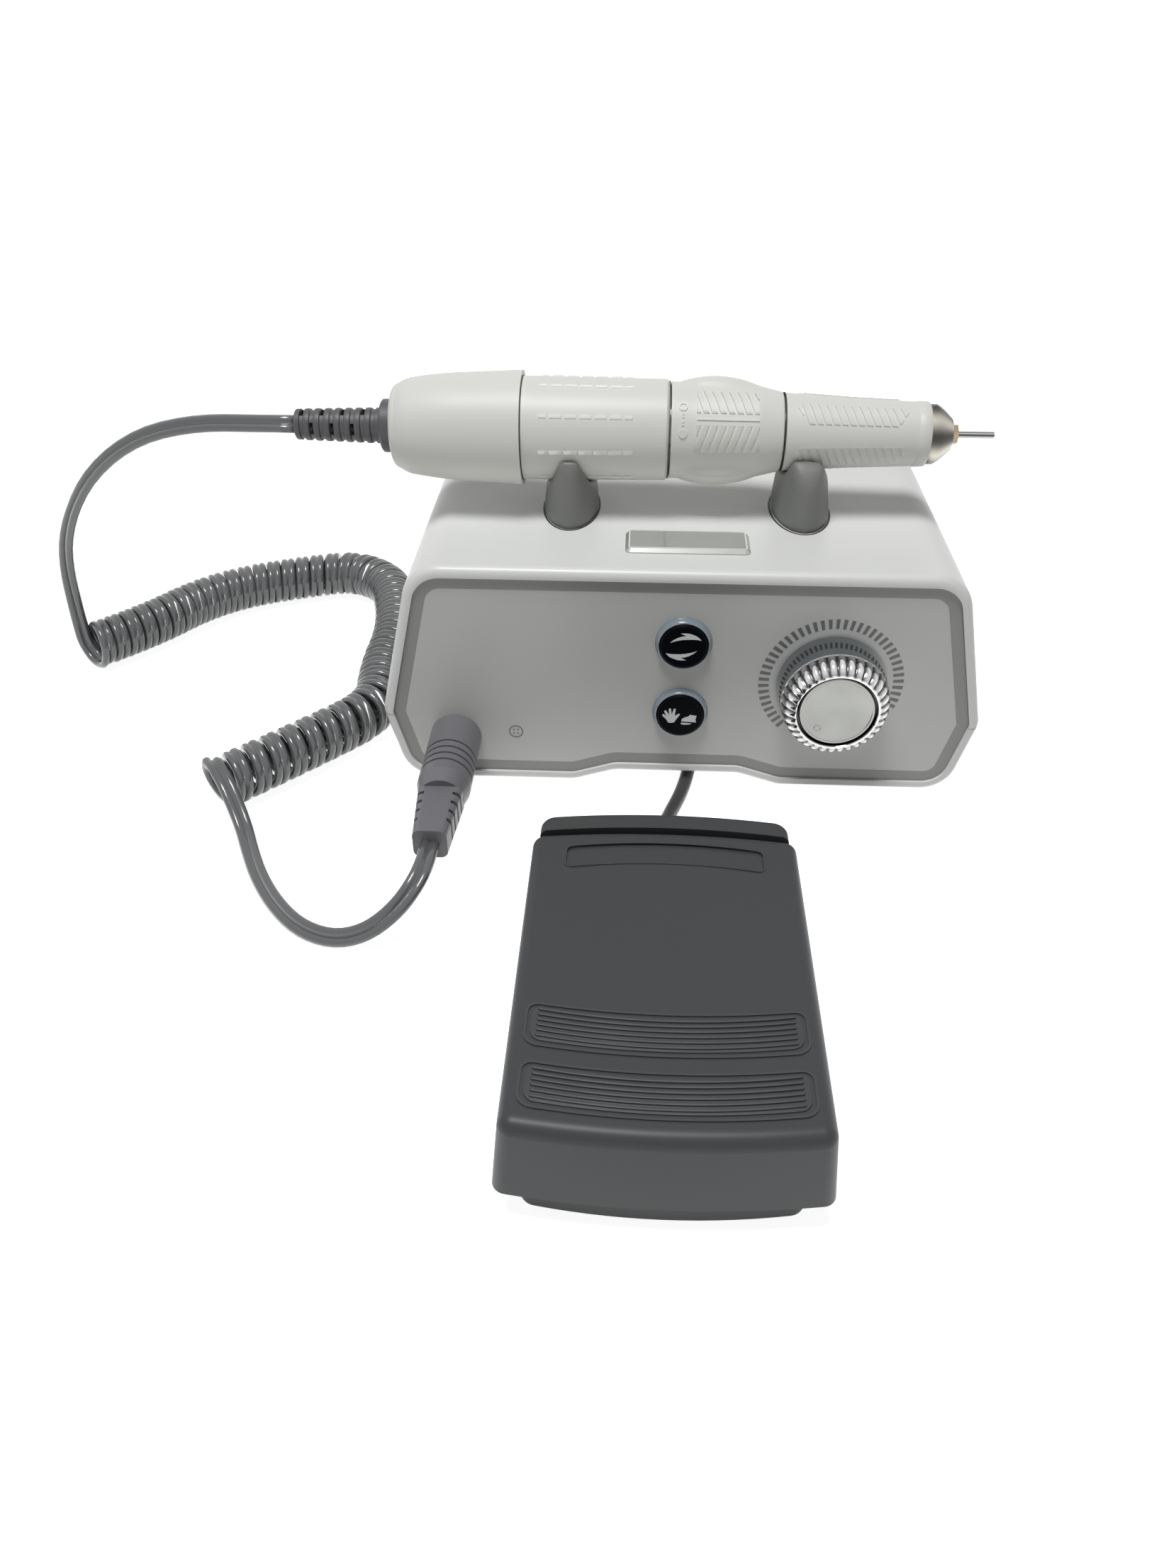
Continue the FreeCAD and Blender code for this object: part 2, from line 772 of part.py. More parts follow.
def front_panel():
    """The grey front sheet with its round holes, and the posts that carry the board."""
    blank = case_block("panel_blank", S.rim_width + S.panel_play, S.panel_recess, S.panel_thick)
    front = from_front(Size(-1, "-1"))
    deep = PANEL_BACK + 3
    ring_r = S.light_ring_r + S.panel_play
    holes = [
        rod("hole_direction", ring_r, deep, (S.button_x, front, S.upper_button_up), "Y"),
        rod("hole_mode", ring_r, deep, (S.button_x, front, S.lower_button_up), "Y"),
        rod("hole_knob", S.pot_bush_r + S.panel_play, deep, (KNOB_X, front, S.knob_up), "Y"),
        rod("hole_socket", S.socket_r + S.panel_play, deep, (PLUG_X, front, S.plug_up), "Y"),
    ]
    high = BOARD_TOP - S.standoff_r - 1
    low = S.control_board_low + S.standoff_r + 1
    side = BOARD_HALF - S.standoff_r - 2
    spots = [(-side, high), (side, high), (KNOB_X / 2, low), (-KNOB_X, low)]
    start = PANEL_BACK - S.panel_thick / 2
    posts = [
        rod(f"panel_post{i}", S.standoff_r, S.control_board_back - start, (x, from_front(start), up), "Y")
        for i, (x, up) in enumerate(spots)
    ]
    node("front_panel", fused("panel_posts", cut("panel_drilled", blank, *holes), *posts))


def root(value):
    return Size(math.sqrt(float(value)), f"sqrt({as_size(value).text})")


def rests():
    """Two upright rests, thinner towards their lips, with saddles that hold the handpiece."""
    drop = S.axis_above - S.rest_rise
    for side, x, half, radius, bow, shoulder, top, lean in (
        (
            "left", S.rest_left_x, S.rest_left_half, S.motor_r + S.rest_play, S.rest_left_bow,
            S.rest_left_shoulder, S.rest_left_top, 0,
        ),
        (
            "right", S.rest_right_x, S.rest_right_half, S.grip_back_r + S.rest_play, S.rest_right_bow,
            S.rest_right_shoulder, S.rest_right_top, S.rest_right_lean,
        ),
    ):
        ovals = []
        levels = (("foot", 0, CASE_TOP), ("lip", S.rest_narrowing, CASE_TOP + S.rest_rise))
        for name, smaller, up in levels:
            oval = doc.addObject("Part::Ellipse", f"rest_{side}_{name}")
            tie(oval, "MajorRadius", S.rest_half_deep - smaller)
            tie(oval, "MinorRadius", half - smaller)
            ovals.append(put(oval, (x, AXIS_Y, up), "to_back"))
        column = doc.addObject("Part::Loft", f"rest_{side}_column")
        column.Sections = ovals
        column.Solid = True
        column.Ruled = True
        lip = root(radius * radius - drop * drop) + S.rest_lip
        foot = S.rest_half_deep
        corners = [
            (-foot, 0), (foot, 0), (foot, S.rest_knee), (lip, S.rest_rise), (-lip, S.rest_rise),
            (-foot, S.rest_knee),
        ]
        long = half * 3
        crown = plate(
            f"rest_{side}_crown", "YZ_Plane", corners, long,
            (x - long / 2, AXIS_Y, CASE_TOP), {2: bow, 4: bow},
        )
        up, crest, round_by = S.rest_shoulder_up, S.rest_rise - S.rest_crest, S.rest_shoulder_bow
        face = [
            (-half, 0), (half, 0), (shoulder, up), (top - lean, crest), (-top - lean, crest),
            (-shoulder - lean, up),
        ]
        front = plate(
            f"rest_{side}_front", "XZ_Plane", face, foot * 2 + 2, (x, AXIS_Y - foot - 1, CASE_TOP),
            {2: round_by, 3: S.rest_crest, 4: round_by}, back=True,
        )
        saddle = rod(f"rest_{side}_saddle", radius, long, (x - long / 2, AXIS_Y, AXIS_UP), "X")
        solid = common(f"rest_{side}_solid", common(f"rest_{side}_oval", column, crown), front)
        node(f"rest_{side}", cut(f"rest_{side}_cut", solid, saddle))


def nameplate():
    """The bare plate on the box's top."""
    wide, deep = S.nameplate_wide / 2, S.nameplate_deep / 2
    corners = [(-wide, -deep), (wide, -deep), (wide, deep), (-wide, deep)]
    at = (S.nameplate_x, from_front(S.nameplate_back), CASE_TOP)
    body = plate("nameplate_blank", "XY_Plane", corners, S.nameplate_thick, at)
    top = S.nameplate_thick
    round_edges(body, S.nameplate_corner_r, lambda e: runs_along(e, 2))
    round_edges(body, S.nameplate_bevel, lambda e: lies_at(e, 2, top), "PartDesign::Chamfer")
    node("nameplate", body)


def buttons():
    """Two round buttons, each in a clear ring that lights up round it."""
    rings = []
    face = S.panel_thick + S.button_proud
    ring_face = S.panel_thick + S.light_ring_proud
    ring_back = -S.light_ring_flange_thick
    bore = S.button_r + S.button_play
    flange = S.light_ring_r + S.light_ring_flange
    seat = ring_back - S.button_play
    stem = S.control_board_back - PANEL_BACK - S.tact_thick - S.button_travel - S.button_play
    for name, up in (("direction", S.upper_button_up), ("mode", S.lower_button_up)):
        at = (S.button_x, from_front(PANEL_BACK), up)
        rings.append(facing(f"{name}_ring", [
            (ring_back, bore), (ring_face, bore), (ring_face, S.light_ring_r),
            (0, S.light_ring_r), (0, flange), (ring_back, flange),
        ], at))
        body = facing(f"{name}_cap", [
            (-stem, 0), (face, 0), (face, S.button_r), (seat, S.button_r),
            (seat, S.light_ring_r), (seat - S.button_flange_thick, S.light_ring_r),
            (seat - S.button_flange_thick, S.button_stem_r), (-stem, S.button_stem_r),
        ], at)
        round_edges(body, S.button_edge_r, lambda e: lies_at(e, 0, face))
        node(f"{name}_button", body)
    node("button_light_rings", group("light_rings", *rings))


def speed_control():
    """Knob in three pieces on the shaft of a rotary control."""
    base = (KNOB_X, from_front(PANEL_FACE), S.knob_up)
    low = S.skirt_gap
    top = low + S.skirt_high
    bore = S.pot_shaft_r
    node("knob_skirt", facing("skirt", [
        (low, bore), (top, bore), (top, S.skirt_top_r), (low, S.skirt_r),
    ], base))
    face = top + S.knob_high
    seat = face - S.cap_thick - S.cap_sink
    knob = facing("knob_blank", [
        (top, bore), (seat, bore), (seat, S.cap_r), (face, S.cap_r), (face, S.knob_r), (top, S.knob_r),
    ], base)
    rim = float(S.cap_r) + 1
    round_edges(knob, S.knob_edge_r, lambda e: lies_at(e, 0, face) and e.BoundBox.YMax > rim)
    count = round(float(S.flute_count))
    reach = S.knob_r + S.flute_out
    flute_y = from_front(PANEL_FACE - face - 1)
    flutes = []
    for i in range(count):
        turn = 2 * math.pi * i / count
        x = KNOB_X + reach * round(math.sin(turn), 5)
        up = S.knob_up + reach * round(math.cos(turn), 5)
        flutes.append(rod(f"flute{i}", S.flute_r, S.knob_high + 1, (x, flute_y, up), "Y"))
    node("speed_knob", cut("knob_fluted", knob, group("flutes", *flutes)))
    cap_face, cap_edge = seat + S.cap_thick, S.cap_r - S.panel_play
    cap = facing("cap_disc", [(seat, 0), (cap_face, 0), (cap_face, cap_edge), (seat, cap_edge)], base)
    dimple = doc.addObject("Part::Sphere", "dimple")
    tie(dimple, "Radius", S.dimple_r)
    lean = round(math.sin(math.radians(45)), 5)
    put(dimple, (
        KNOB_X - S.dimple_out * lean,
        from_front(PANEL_FACE - cap_face - S.dimple_r / 3),
        S.knob_up - S.dimple_out * lean,
    ))
    node("knob_cap", cut("cap_dimpled", cap, dimple))
    back = from_front(PANEL_BACK)
    pot = rod("pot_body", S.pot_r, S.control_board_back - PANEL_BACK, (KNOB_X, back, S.knob_up), "Y")
    bush = rod("pot_bush", S.pot_bush_r, S.panel_thick, (KNOB_X, from_front(PANEL_FACE), S.knob_up), "Y")
    clear = S.pot_shaft_r + S.shaft_play
    deep = S.panel_thick + S.pot_thick / 2
    hole = rod("pot_hole", clear, deep + 1, (KNOB_X, from_front(PANEL_FACE - 1), S.knob_up), "Y")
    node("potentiometer", cut("pot_bored", fused("pot_solid", pot, bush), hole))
    tip = (KNOB_X, from_front(PANEL_FACE - seat), S.knob_up)
    node("potentiometer_shaft", rod("pot_shaft", S.pot_shaft_r, seat + deep - S.shaft_play, tip, "Y"))


def electronics():
    """The control board with its two key switches, and the mains transformer."""
    front = from_front(S.control_board_back)
    high = BOARD_TOP - S.control_board_low
    board = brick(
        "board_blank", BOARD_HALF * 2, S.board_thick, high,
        (-BOARD_HALF, front, S.control_board_low),
    )
    notch = rod("board_notch", S.socket_r + 1, S.board_thick + 2, (PLUG_X, front - 1, S.plug_up), "Y")
    keys = [
        brick(
            f"key{i}", S.tact_side, S.tact_thick + S.board_thick / 2, S.tact_side,
            (S.button_x - S.tact_side / 2, front - S.tact_thick, up - S.tact_side / 2),
        )
        for i, up in enumerate((S.upper_button_up, S.lower_button_up))
    ]
    node("control_board", fused("board_keys", cut("board_cut", board, notch), *keys))
    floor_top = CASE_BOTTOM + S.case_wall
    back = from_front(S.case_depth - S.core_back_in)
    core = brick("core_blank", S.core_long, S.core_deep, S.core_high, (S.core_x, back, floor_top))
    window_wide = S.core_long / 2 - S.core_limb * 1.5
    window_high = S.core_high - S.core_limb * 2
    sill = floor_top + S.core_limb
    windows = [
        brick(f"core_window{i}", window_wide, S.core_deep + 2, window_high, (S.core_x + x, back - 1, sill))
        for i, x in enumerate((S.core_limb, S.core_long - S.core_limb - window_wide))
    ]
    node("transformer_core", cut("core", core, *windows))
    middle = S.core_x + S.core_long / 2 - S.core_limb / 2
    wall = window_wide - S.winding_play
    winding = brick(
        "winding_blank", S.core_limb + wall * 2, S.core_deep + wall * 2, window_high,
        (middle - wall, back - wall, sill),
    )
    hollow = brick("winding_hole", S.core_limb, S.core_deep, window_high + 2, (middle, back, sill - 1))
    node("transformer_winding", cut("winding", winding, hollow))


def motor_connection():
    """The round socket in the front panel, the plug in it and the plug's flat rubber relief."""
    at = (PLUG_X, from_front(PANEL_FACE), S.plug_up)
    bore = S.shell_r + S.fit
    nut = -S.panel_thick - S.socket_nut
    node("motor_socket", facing("socket", [
        (0, bore), (0, S.socket_r), (-S.panel_thick, S.socket_r), (-S.panel_thick, S.socket_nut_r),
        (nut, S.socket_nut_r), (nut, S.socket_r), (-S.socket_deep, S.socket_r), (-S.socket_deep, 0),
        (-S.shell_deep - 1, 0), (-S.shell_deep - 1, bore),
    ], at))
    outline = [(-S.shell_deep, 0), (-S.shell_deep, S.shell_r), (0, S.shell_r), (0, S.plug_r)]
    for i in range(4):
        start = S.plug_groove_first + S.plug_groove_step * i
        outline += [
            (start, S.plug_r), (start, S.plug_r - S.plug_groove),
            (start + S.plug_groove_wide, S.plug_r - S.plug_groove), (start + S.plug_groove_wide, S.plug_r),
        ]
    outline += [(S.plug_body, S.plug_r), (S.plug_nose, S.plug_nose_r), (S.plug_nose, 0)]
    node("motor_plug", facing("plug", outline, at))
    end, end_half = S.plug_relief_long, S.plug_relief_end_half
    corners = [(-S.plug_relief_half, 0), (S.plug_relief_half, 0), (end_half, -end), (-end_half, -end)]
    start_y = from_front(PANEL_FACE - S.plug_nose)
    relief = plate(
        "relief", "XY_Plane", corners, S.plug_relief_thick,
        (PLUG_X, start_y, S.plug_up - S.plug_relief_thick / 2),
    )
    far = float(end) - 1
    round_edges(relief, S.plug_relief_edge_r, lambda e: len(e.Vertexes) == 2 and slants_along(e, far))
    slots = []
    for i in range(4):
        along = S.plug_slot_first + S.plug_slot_step * i
        for side in (-1, 1):
            inner = end_half - S.plug_slot_deep + 0.8
            x = PLUG_X + side * inner - (S.plug_relief_half if side < 0 else 0)
            slots.append(brick(
                f"relief_slot{i}{side + 1}", S.plug_relief_half, S.plug_slot_wide, S.plug_relief_thick + 2,
                (x, start_y - along - S.plug_slot_wide, S.plug_up - S.plug_relief_thick / 2 - 1),
            ))
    node("plug_boot", cut("relief_slotted", relief, *slots))


def slants_along(edge, length):
    box = edge.BoundBox
    return box.YMax - box.YMin > length


def back_parts():
    """Back panel with mains inlet, power switch and the pedal's jack."""
    seat = S.case_depth - S.back_inset - S.back_panel_thick
    face = from_front(S.case_depth - S.back_inset)
    blank = case_block("back_blank", S.case_wall - S.back_ledge + S.panel_play, seat, S.back_panel_thick)
    deep = S.back_panel_thick + 2

    def hole(name, wide, high, x, up):
        return brick(name, wide, deep, high, (x - wide / 2, face - S.back_panel_thick - 1, up - high / 2))

    inside = face - S.back_panel_thick - 1
    jack_hole = rod("hole_jack", S.jack_r + S.fit, deep, (JACK_X, inside, S.jack_up), "Y")
    inlet_hole = hole("hole_inlet", S.inlet_wide, S.inlet_high, INLET_X, S.inlet_up)
    switch_hole = hole("hole_switch", S.switch_wide, S.switch_high, S.switch_x, S.switch_up)
    node("rear_panel", cut("back_drilled", blank, jack_hole, inlet_hole, switch_hole))

    def slab(name, wide, high, x, up, start, length):
        return brick(name, wide, length, high, (x - wide / 2, start, up - high / 2))

    wide, high, up = S.inlet_wide, S.inlet_high, S.inlet_up
    wall, lip = S.inlet_wall * 2, S.inlet_lip * 2
    flange = slab("inlet_flange_slab", wide + lip, high + lip, INLET_X, up, face, S.inlet_flange)
    inlet = slab("inlet_body", wide, high, INLET_X, up, face - S.inlet_deep, S.inlet_deep)
    bottom = face + S.inlet_flange - S.inlet_pocket
    opening = slab("inlet_opening", wide - wall, high - wall, INLET_X, up, bottom, S.inlet_pocket + 1)
    apart, low = S.inlet_pin_apart, -S.inlet_pin_low
    pins = [
        slab(
            f"inlet_pin{i}", S.inlet_pin_wide, S.inlet_pin_high, INLET_X + x, up + above, bottom - 1,
            S.inlet_pocket - 2,
        )
        for i, (x, above) in enumerate(((-apart, low), (0, S.inlet_pin_raised), (apart, low)))
    ]
    hollow_inlet = cut("inlet_shell", fused("inlet_solid", flange, inlet), opening)
    node("mains_inlet", fused("inlet_pins", hollow_inlet, *pins))
    wide, high, wall, x, up = S.switch_wide, S.switch_high, S.switch_wall, S.switch_x, S.switch_up
    rim = slab("switch_flange", wide + wall * 2, high + wall * 2, x, up, face, wall)
    frame = slab("switch_body", wide, high, x, up, face - S.switch_deep, S.switch_deep)
    inner = S.rocker_wide + S.rocker_play * 2
    window = slab(
        "switch_opening", inner, high - wall * 2, x, up, face - S.switch_deep + wall, S.switch_deep + 2,
    )
    node("power_switch_frame", cut("switch_frame", fused("switch_solid", rim, frame), window))
    top, half = S.rocker_proud + S.rocker_thick, S.rocker_half_high
    rocker_corners = [
        (-S.rocker_root, -S.rocker_root_half), (S.rocker_proud, -half), (top, -half + S.rocker_round),
    ]
    rocker_corners += [(top - S.rocker_dip, 0)]
    rocker_corners += [(x, -z) for x, z in reversed(rocker_corners[:3])]
    rocker = plate("rocker", "YZ_Plane", rocker_corners, S.rocker_wide, (S.switch_x, face, S.switch_up))
    lean_body(rocker, (S.switch_x - S.rocker_wide / 2, face - 1, S.switch_up))
    node("power_rocker", rocker)
    jack_body = rod("jack_body", S.jack_r, S.jack_deep, (JACK_X, face - S.jack_deep, S.jack_up), "Y")
    jack_nut = rod("jack_nut_disc", S.jack_nut_r, S.jack_nut, (JACK_X, face, S.jack_up), "Y")
    bore_y = face + S.jack_nut - S.jack_deep + 1
    jack_bore = rod("jack_hole", S.jack_bore_r, S.jack_deep, (JACK_X, bore_y, S.jack_up), "Y")
    node("pedal_jack", cut("jack", fused("jack_solid", jack_body, jack_nut), jack_bore))


def lean_body(body, at):
    """Tilts the rocker about its own axis, so that it rests in the off position."""
    AXES["lean"] = Rotation(Vector(1, 0, 0), float(S.rocker_tilt))
    put(body, at, "lean")
    tie(body, ".Placement.Rotation.Angle", S.rocker_tilt)


def angle_part(name, size):
    """The sine, cosine or tangent of a sheet angle in degrees."""
    number = getattr(math, name)(math.radians(float(size)))
    return Size(number, f"{name}({as_size(size).text} * 1 deg)")


def handpiece_shell():
    """The pieces that can be seen of the handpiece, from its cord end to its nose."""
    slope = (S.boot_large_r - S.boot_small_r) / (S.collar_x - S.boot_end_x)
    outline = [(S.boot_end_x, 0), (S.boot_end_x, S.boot_small_r)]
    for i in range(round(float(S.boot_grooves))):
        start = S.boot_end_x + S.boot_groove_first + S.boot_groove_step * i
        stop = start + S.boot_groove_wide
        for x, deep in ((start, 0), (start, S.boot_groove), (stop, S.boot_groove), (stop, 0)):
            outline.append((x, S.boot_small_r + slope * (x - S.boot_end_x) - deep))
    inner = S.cap_end_x + 4
    outline += [
        (S.collar_x, S.boot_large_r), (S.collar_x, S.collar_r), (S.cap_end_x, S.collar_r),
        (S.cap_end_x, S.boot_large_r), (inner, S.boot_large_r), (inner, 0),
    ]
    node("cord_boot", turned("boot", outline))
    wall, hole = S.cap_wall, S.boot_large_r + S.fit
    end, outside = S.cap_end_x, S.motor_r + S.fit
    node("rear_cap", turned("cap", [
        (end, hole), (end, S.cap_end_r), (end + S.cap_shoulder, S.cap_shoulder_r),
        (end + S.cap_knee, S.cap_knee_r), (end + S.cap_mid, S.cap_mid_r), (S.cap_lip_x, S.cap_lip_r),
        (S.cap_lip_x, outside), (S.motor_back_x, outside), (S.motor_back_x, S.motor_r - wall),
        (end + S.cap_mid, S.cap_mid_r - wall), (end + S.cap_knee, S.cap_knee_r - wall * 1.5),
        (end + wall * 2, S.cap_end_r - wall), (end + wall * 2, hole),
    ], None, {1: -S.cap_shoulder_bow, 2: -S.cap_bow, 3: -S.cap_bow}))
    front, bore = S.motor_front_x, S.motor_bore_r
    node("motor_housing", turned("motor_tube", [
        (S.motor_back_x, bore), (S.motor_back_x, S.motor_r), (front - S.motor_chamfer, S.motor_front_r),
        (front, S.motor_front_r - S.motor_chamfer), (front, bore),
    ]))
    back, stop = S.motor_front_x + S.joint_gap, S.ring_front_x
    skin = turned("ring_cone", [
        (back, S.sleeve_r - 1), (back, S.ring_back_r), (S.ring_mid_x, S.ring_mid_r), (stop, S.ring_front_r),
        (stop, S.sleeve_neck_r - 1),
    ])
    lobe_start, lobe_end = back + S.lobe_margin, S.ring_mid_x + S.lobe_margin
    low_back, low_front = S.ring_back_r - S.lobe_sink, S.ring_mid_r - S.lobe_sink * 2
    barrel = turned("ring_barrel", [
        (lobe_start, S.sleeve_r), (lobe_start, low_back), (lobe_end, low_front), (lobe_end, S.sleeve_r),
    ], None, {1: -(S.lobe_r - (low_back + low_front) / 2)})
    wedges = []
    for i, turn in enumerate((S.lobe_turn, S.lobe_turn - 180)):
        corners = [(0, 0)]
        far = S.lobe_r * 2
        for lean in (turn - S.lobe_half_angle, turn + S.lobe_half_angle):
            corners.append((-far * angle_part("cos", lean), far * angle_part("sin", lean)))
        wedges.append(plate(
            f"lobe_wedge{i}", "YZ_Plane", corners, stop - back, (back, AXIS_Y, AXIS_UP),
        ))
    lobes = common("ring_lobes", barrel, fused("lobe_wedges", *wedges))
    wide_bore, narrow_bore = S.sleeve_r + S.ring_play, S.sleeve_neck_r + S.ring_play
    bore = turned("ring_bore", [
        (back - 1, 0), (back - 1, wide_bore), (S.ring_neck_x, wide_bore), (S.ring_neck_x, narrow_bore),
        (stop + 1, narrow_bore), (stop + 1, 0),
    ])
    node("lock_ring", cut("ring_bored", fused("ring_solid", skin, lobes), bore))
    shoulder, neck = S.ring_neck_x - S.joint_gap, S.sleeve_neck_r
    sleeve_back, sleeve_front = S.sleeve_back_x, S.sleeve_front_x
    node("inner_sleeve", turned("sleeve", [
        (sleeve_back, S.sleeve_bore_r), (sleeve_back, S.motor_bore_r), (front, S.motor_bore_r),
        (front, S.sleeve_r), (shoulder, S.sleeve_r), (shoulder, neck), (sleeve_front, neck),
        (sleeve_front, S.sleeve_bore_r),
    ]))
    grip_back, grip_front, bore_r = S.ring_front_x + S.joint_gap, S.grip_front_x, S.grip_bore_r
    node("front_grip", turned("grip", [
        (grip_back, neck), (grip_back, S.grip_back_r), (S.grip_mid_x, S.grip_mid_r),
        (grip_front, S.grip_front_r), (grip_front, bore_r), (sleeve_front, bore_r), (sleeve_front, neck),
    ]))
    spigot, inner = grip_front - S.nose_spigot, S.nose_hole_r + S.nose_wall
    node("nose_cone", turned("nose", [
        (spigot, inner), (spigot, bore_r), (grip_front, bore_r), (grip_front, S.nose_r),
        (S.nose_bevel_x, S.nose_r), (S.nose_tip_x, S.nose_tip_r), (S.nose_tip_x, S.nose_hole_r),
        (grip_front, S.nose_hole_r), (grip_front, inner),
    ]))


def across_axis(turn, radius):
    """A point's place beside the handpiece axis, at a turn in degrees from straight up."""
    lean = math.radians(turn)
    y = AXIS_Y + radius * round(math.sin(lean), 5)
    return (y, AXIS_UP + radius * round(math.cos(lean), 5))


def handpiece_works():
    """Motor, spindle, collet and the tool in it."""
    shaft = S.shaft_r
    nut_back = S.nut_tip_x - S.nut_deep
    bar_back = S.nut_tip_x - S.bar_inside
    quill_back, quill_end, quill = S.spindle_back_x, S.spindle_front_x, S.spindle_r
    collet_back, collet, collet_bore = S.collet_back_x, S.collet_r, S.bar_shank_r + S.fit
    node("rotor_shaft", turned("spindle", [
        (S.shaft_back_x, 0), (S.shaft_back_x, shaft), (quill_back, shaft), (quill_back, quill),
        (quill_end, quill), (quill_end, collet), (collet_back, collet), (collet_back, 0),
    ]))
    node("collet", turned("collet_tube", [
        (collet_back, collet_bore), (collet_back, collet), (nut_back, collet), (nut_back, collet_bore),
    ]))
    hexagon = doc.addObject("Part::Prism", "nut_hexagon")
    hexagon.Polygon = 6
    tie(hexagon, "Circumradius", S.nut_across / round(math.sqrt(3), 5))
    tie(hexagon, "Height", S.nut_deep)
    put(hexagon, (nut_back, AXIS_Y, AXIS_UP), "X")
    nut_hole = rod("nut_hole", collet_bore, S.nut_deep + 2, (nut_back - 1, AXIS_Y, AXIS_UP), "X")
    node("collet_nut", cut("nut", hexagon, nut_hole))
    step, tip, shank, bar = S.nut_tip_x - S.bar_step, S.bar_tip_x, S.bar_shank_r, S.bar_r
    node("test_bar", turned("bar", [
        (bar_back, 0), (bar_back, shank), (step, shank), (step, bar), (tip - S.bar_bevel, bar),
        (tip, bar - S.bar_bevel), (tip, 0),
    ]))
    start, stop = S.rotor_back_x, S.rotor_front_x
    core = turned("rotor", [(start, shaft), (start, S.rotor_r), (stop, S.rotor_r), (stop, shaft)])
    count = round(float(S.rotor_slots))
    slots = [
        rod(
            f"rotor_slot{i}", S.slot_r, stop - start + 2,
            (start - 1, *across_axis(360 * i / count + 20, S.rotor_r - S.slot_r / 3)), "X",
        )
        for i in range(count)
    ]
    node("rotor_core", cut("rotor_slotted", core, *slots))
    drum_back, drum = S.commutator_back_x, S.commutator_r
    node("commutator", turned("commutator_drum", [
        (drum_back, shaft), (drum_back, drum), (start, drum), (start, shaft),
    ]))
    magnet_in, bore = S.rotor_r + S.magnet_gap, S.motor_bore_r
    tube = turned("magnet_tube", [
        (start - S.magnet_past, magnet_in), (start - S.magnet_past, bore), (stop + S.magnet_past, bore),
        (stop + S.magnet_past, magnet_in),
    ])
    slab = brick(
        "magnet_split", stop - start + S.magnet_past * 4, bore * 3, S.magnet_split,
        (start - S.magnet_past * 2, AXIS_Y - bore * 1.5, AXIS_UP - S.magnet_split / 2),
    )
    node("motor_magnets", cut("magnets", tube, slab))
    holder_back, holder_front, eye = S.holder_back_x, start - S.magnet_past - 2, S.small_bearing_r
    holder = turned("holder_disc", [
        (holder_back, eye), (holder_back, bore), (holder_front, bore), (holder_front, eye),
    ])
    brush_x = S.commutator_back_x + 1
    pocket_high = (S.motor_bore_r - 1.5) * 2
    pocket = brick(
        "brush_pocket", S.brush_wide, S.brush_thick, pocket_high,
        (brush_x, AXIS_Y - S.brush_thick / 2, AXIS_UP - pocket_high / 2),
    )
    node("brush_holder", cut("holder", holder, pocket))
    brush_in = S.commutator_r + S.brush_gap
    brush_long = S.motor_bore_r - 1.5 - brush_in
    node("carbon_brushes", group("brushes", *[
        brick(
            f"brush{i}", S.brush_wide, S.brush_thick, brush_long,
            (brush_x, AXIS_Y - S.brush_thick / 2, AXIS_UP + z),
        )
        for i, z in enumerate((brush_in, -brush_in - brush_long))
    ]))
    wide = S.bearing_wide
    places = [
        (S.holder_back_x + 1, S.small_bearing_r, shaft),
        (S.sleeve_front_x + 2.5, S.grip_bore_r, S.spindle_r),
        (S.grip_front_x - S.nose_spigot - wide, S.grip_bore_r, S.spindle_r),
    ]
    node("spindle_bearings", group("bearings", *[
        turned(f"bearing{i}", [
            (x, inner + S.fit), (x, outer), (x + wide, outer), (x + wide, inner + S.fit),
        ])
        for i, (x, outer, inner) in enumerate(places)
    ]))
    cam_r = S.sleeve_bore_r - S.cam_play
    node("cam_sleeve", turned("cam", [
        (S.cam_back_x, cam_r - S.cam_wall), (S.cam_back_x, cam_r), (S.cam_back_x + S.cam_long, cam_r),
        (S.cam_back_x + S.cam_long, cam_r - S.cam_wall),
    ]))


def pedal_block(name, half, back, front, up, high, top_half=None, bow=None, dished=False):
    """A block whose back bows outwards in the middle, and its front too unless it is dished to match."""
    bow = S.pedal_bow if bow is None else bow
    front_bow = -bow if dished else bow
    at = (S.pedal_x, S.front_plane_y, up)
    rises = {0: front_bow, 2: bow}

    def outline(side):
        near, far = front + front_bow, back - bow
        return [(-side, near), (side, near), (side, far), (-side, far)]

    if top_half is None:
        return plate(name, "XY_Plane", outline(half), high, at, rises)
    upright = plate(name + "_upright", "XY_Plane", outline(half), high, at, rises)
    sides = [(-half, 0), (half, 0), (top_half, high), (-top_half, high)]
    start = front - front_bow - 5
    wedge = plate(
        name + "_sides", "XZ_Plane", sides, back + 5 - start, (S.pedal_x, from_front(start), up), back=True
    )
    return common(name, upright, wedge)


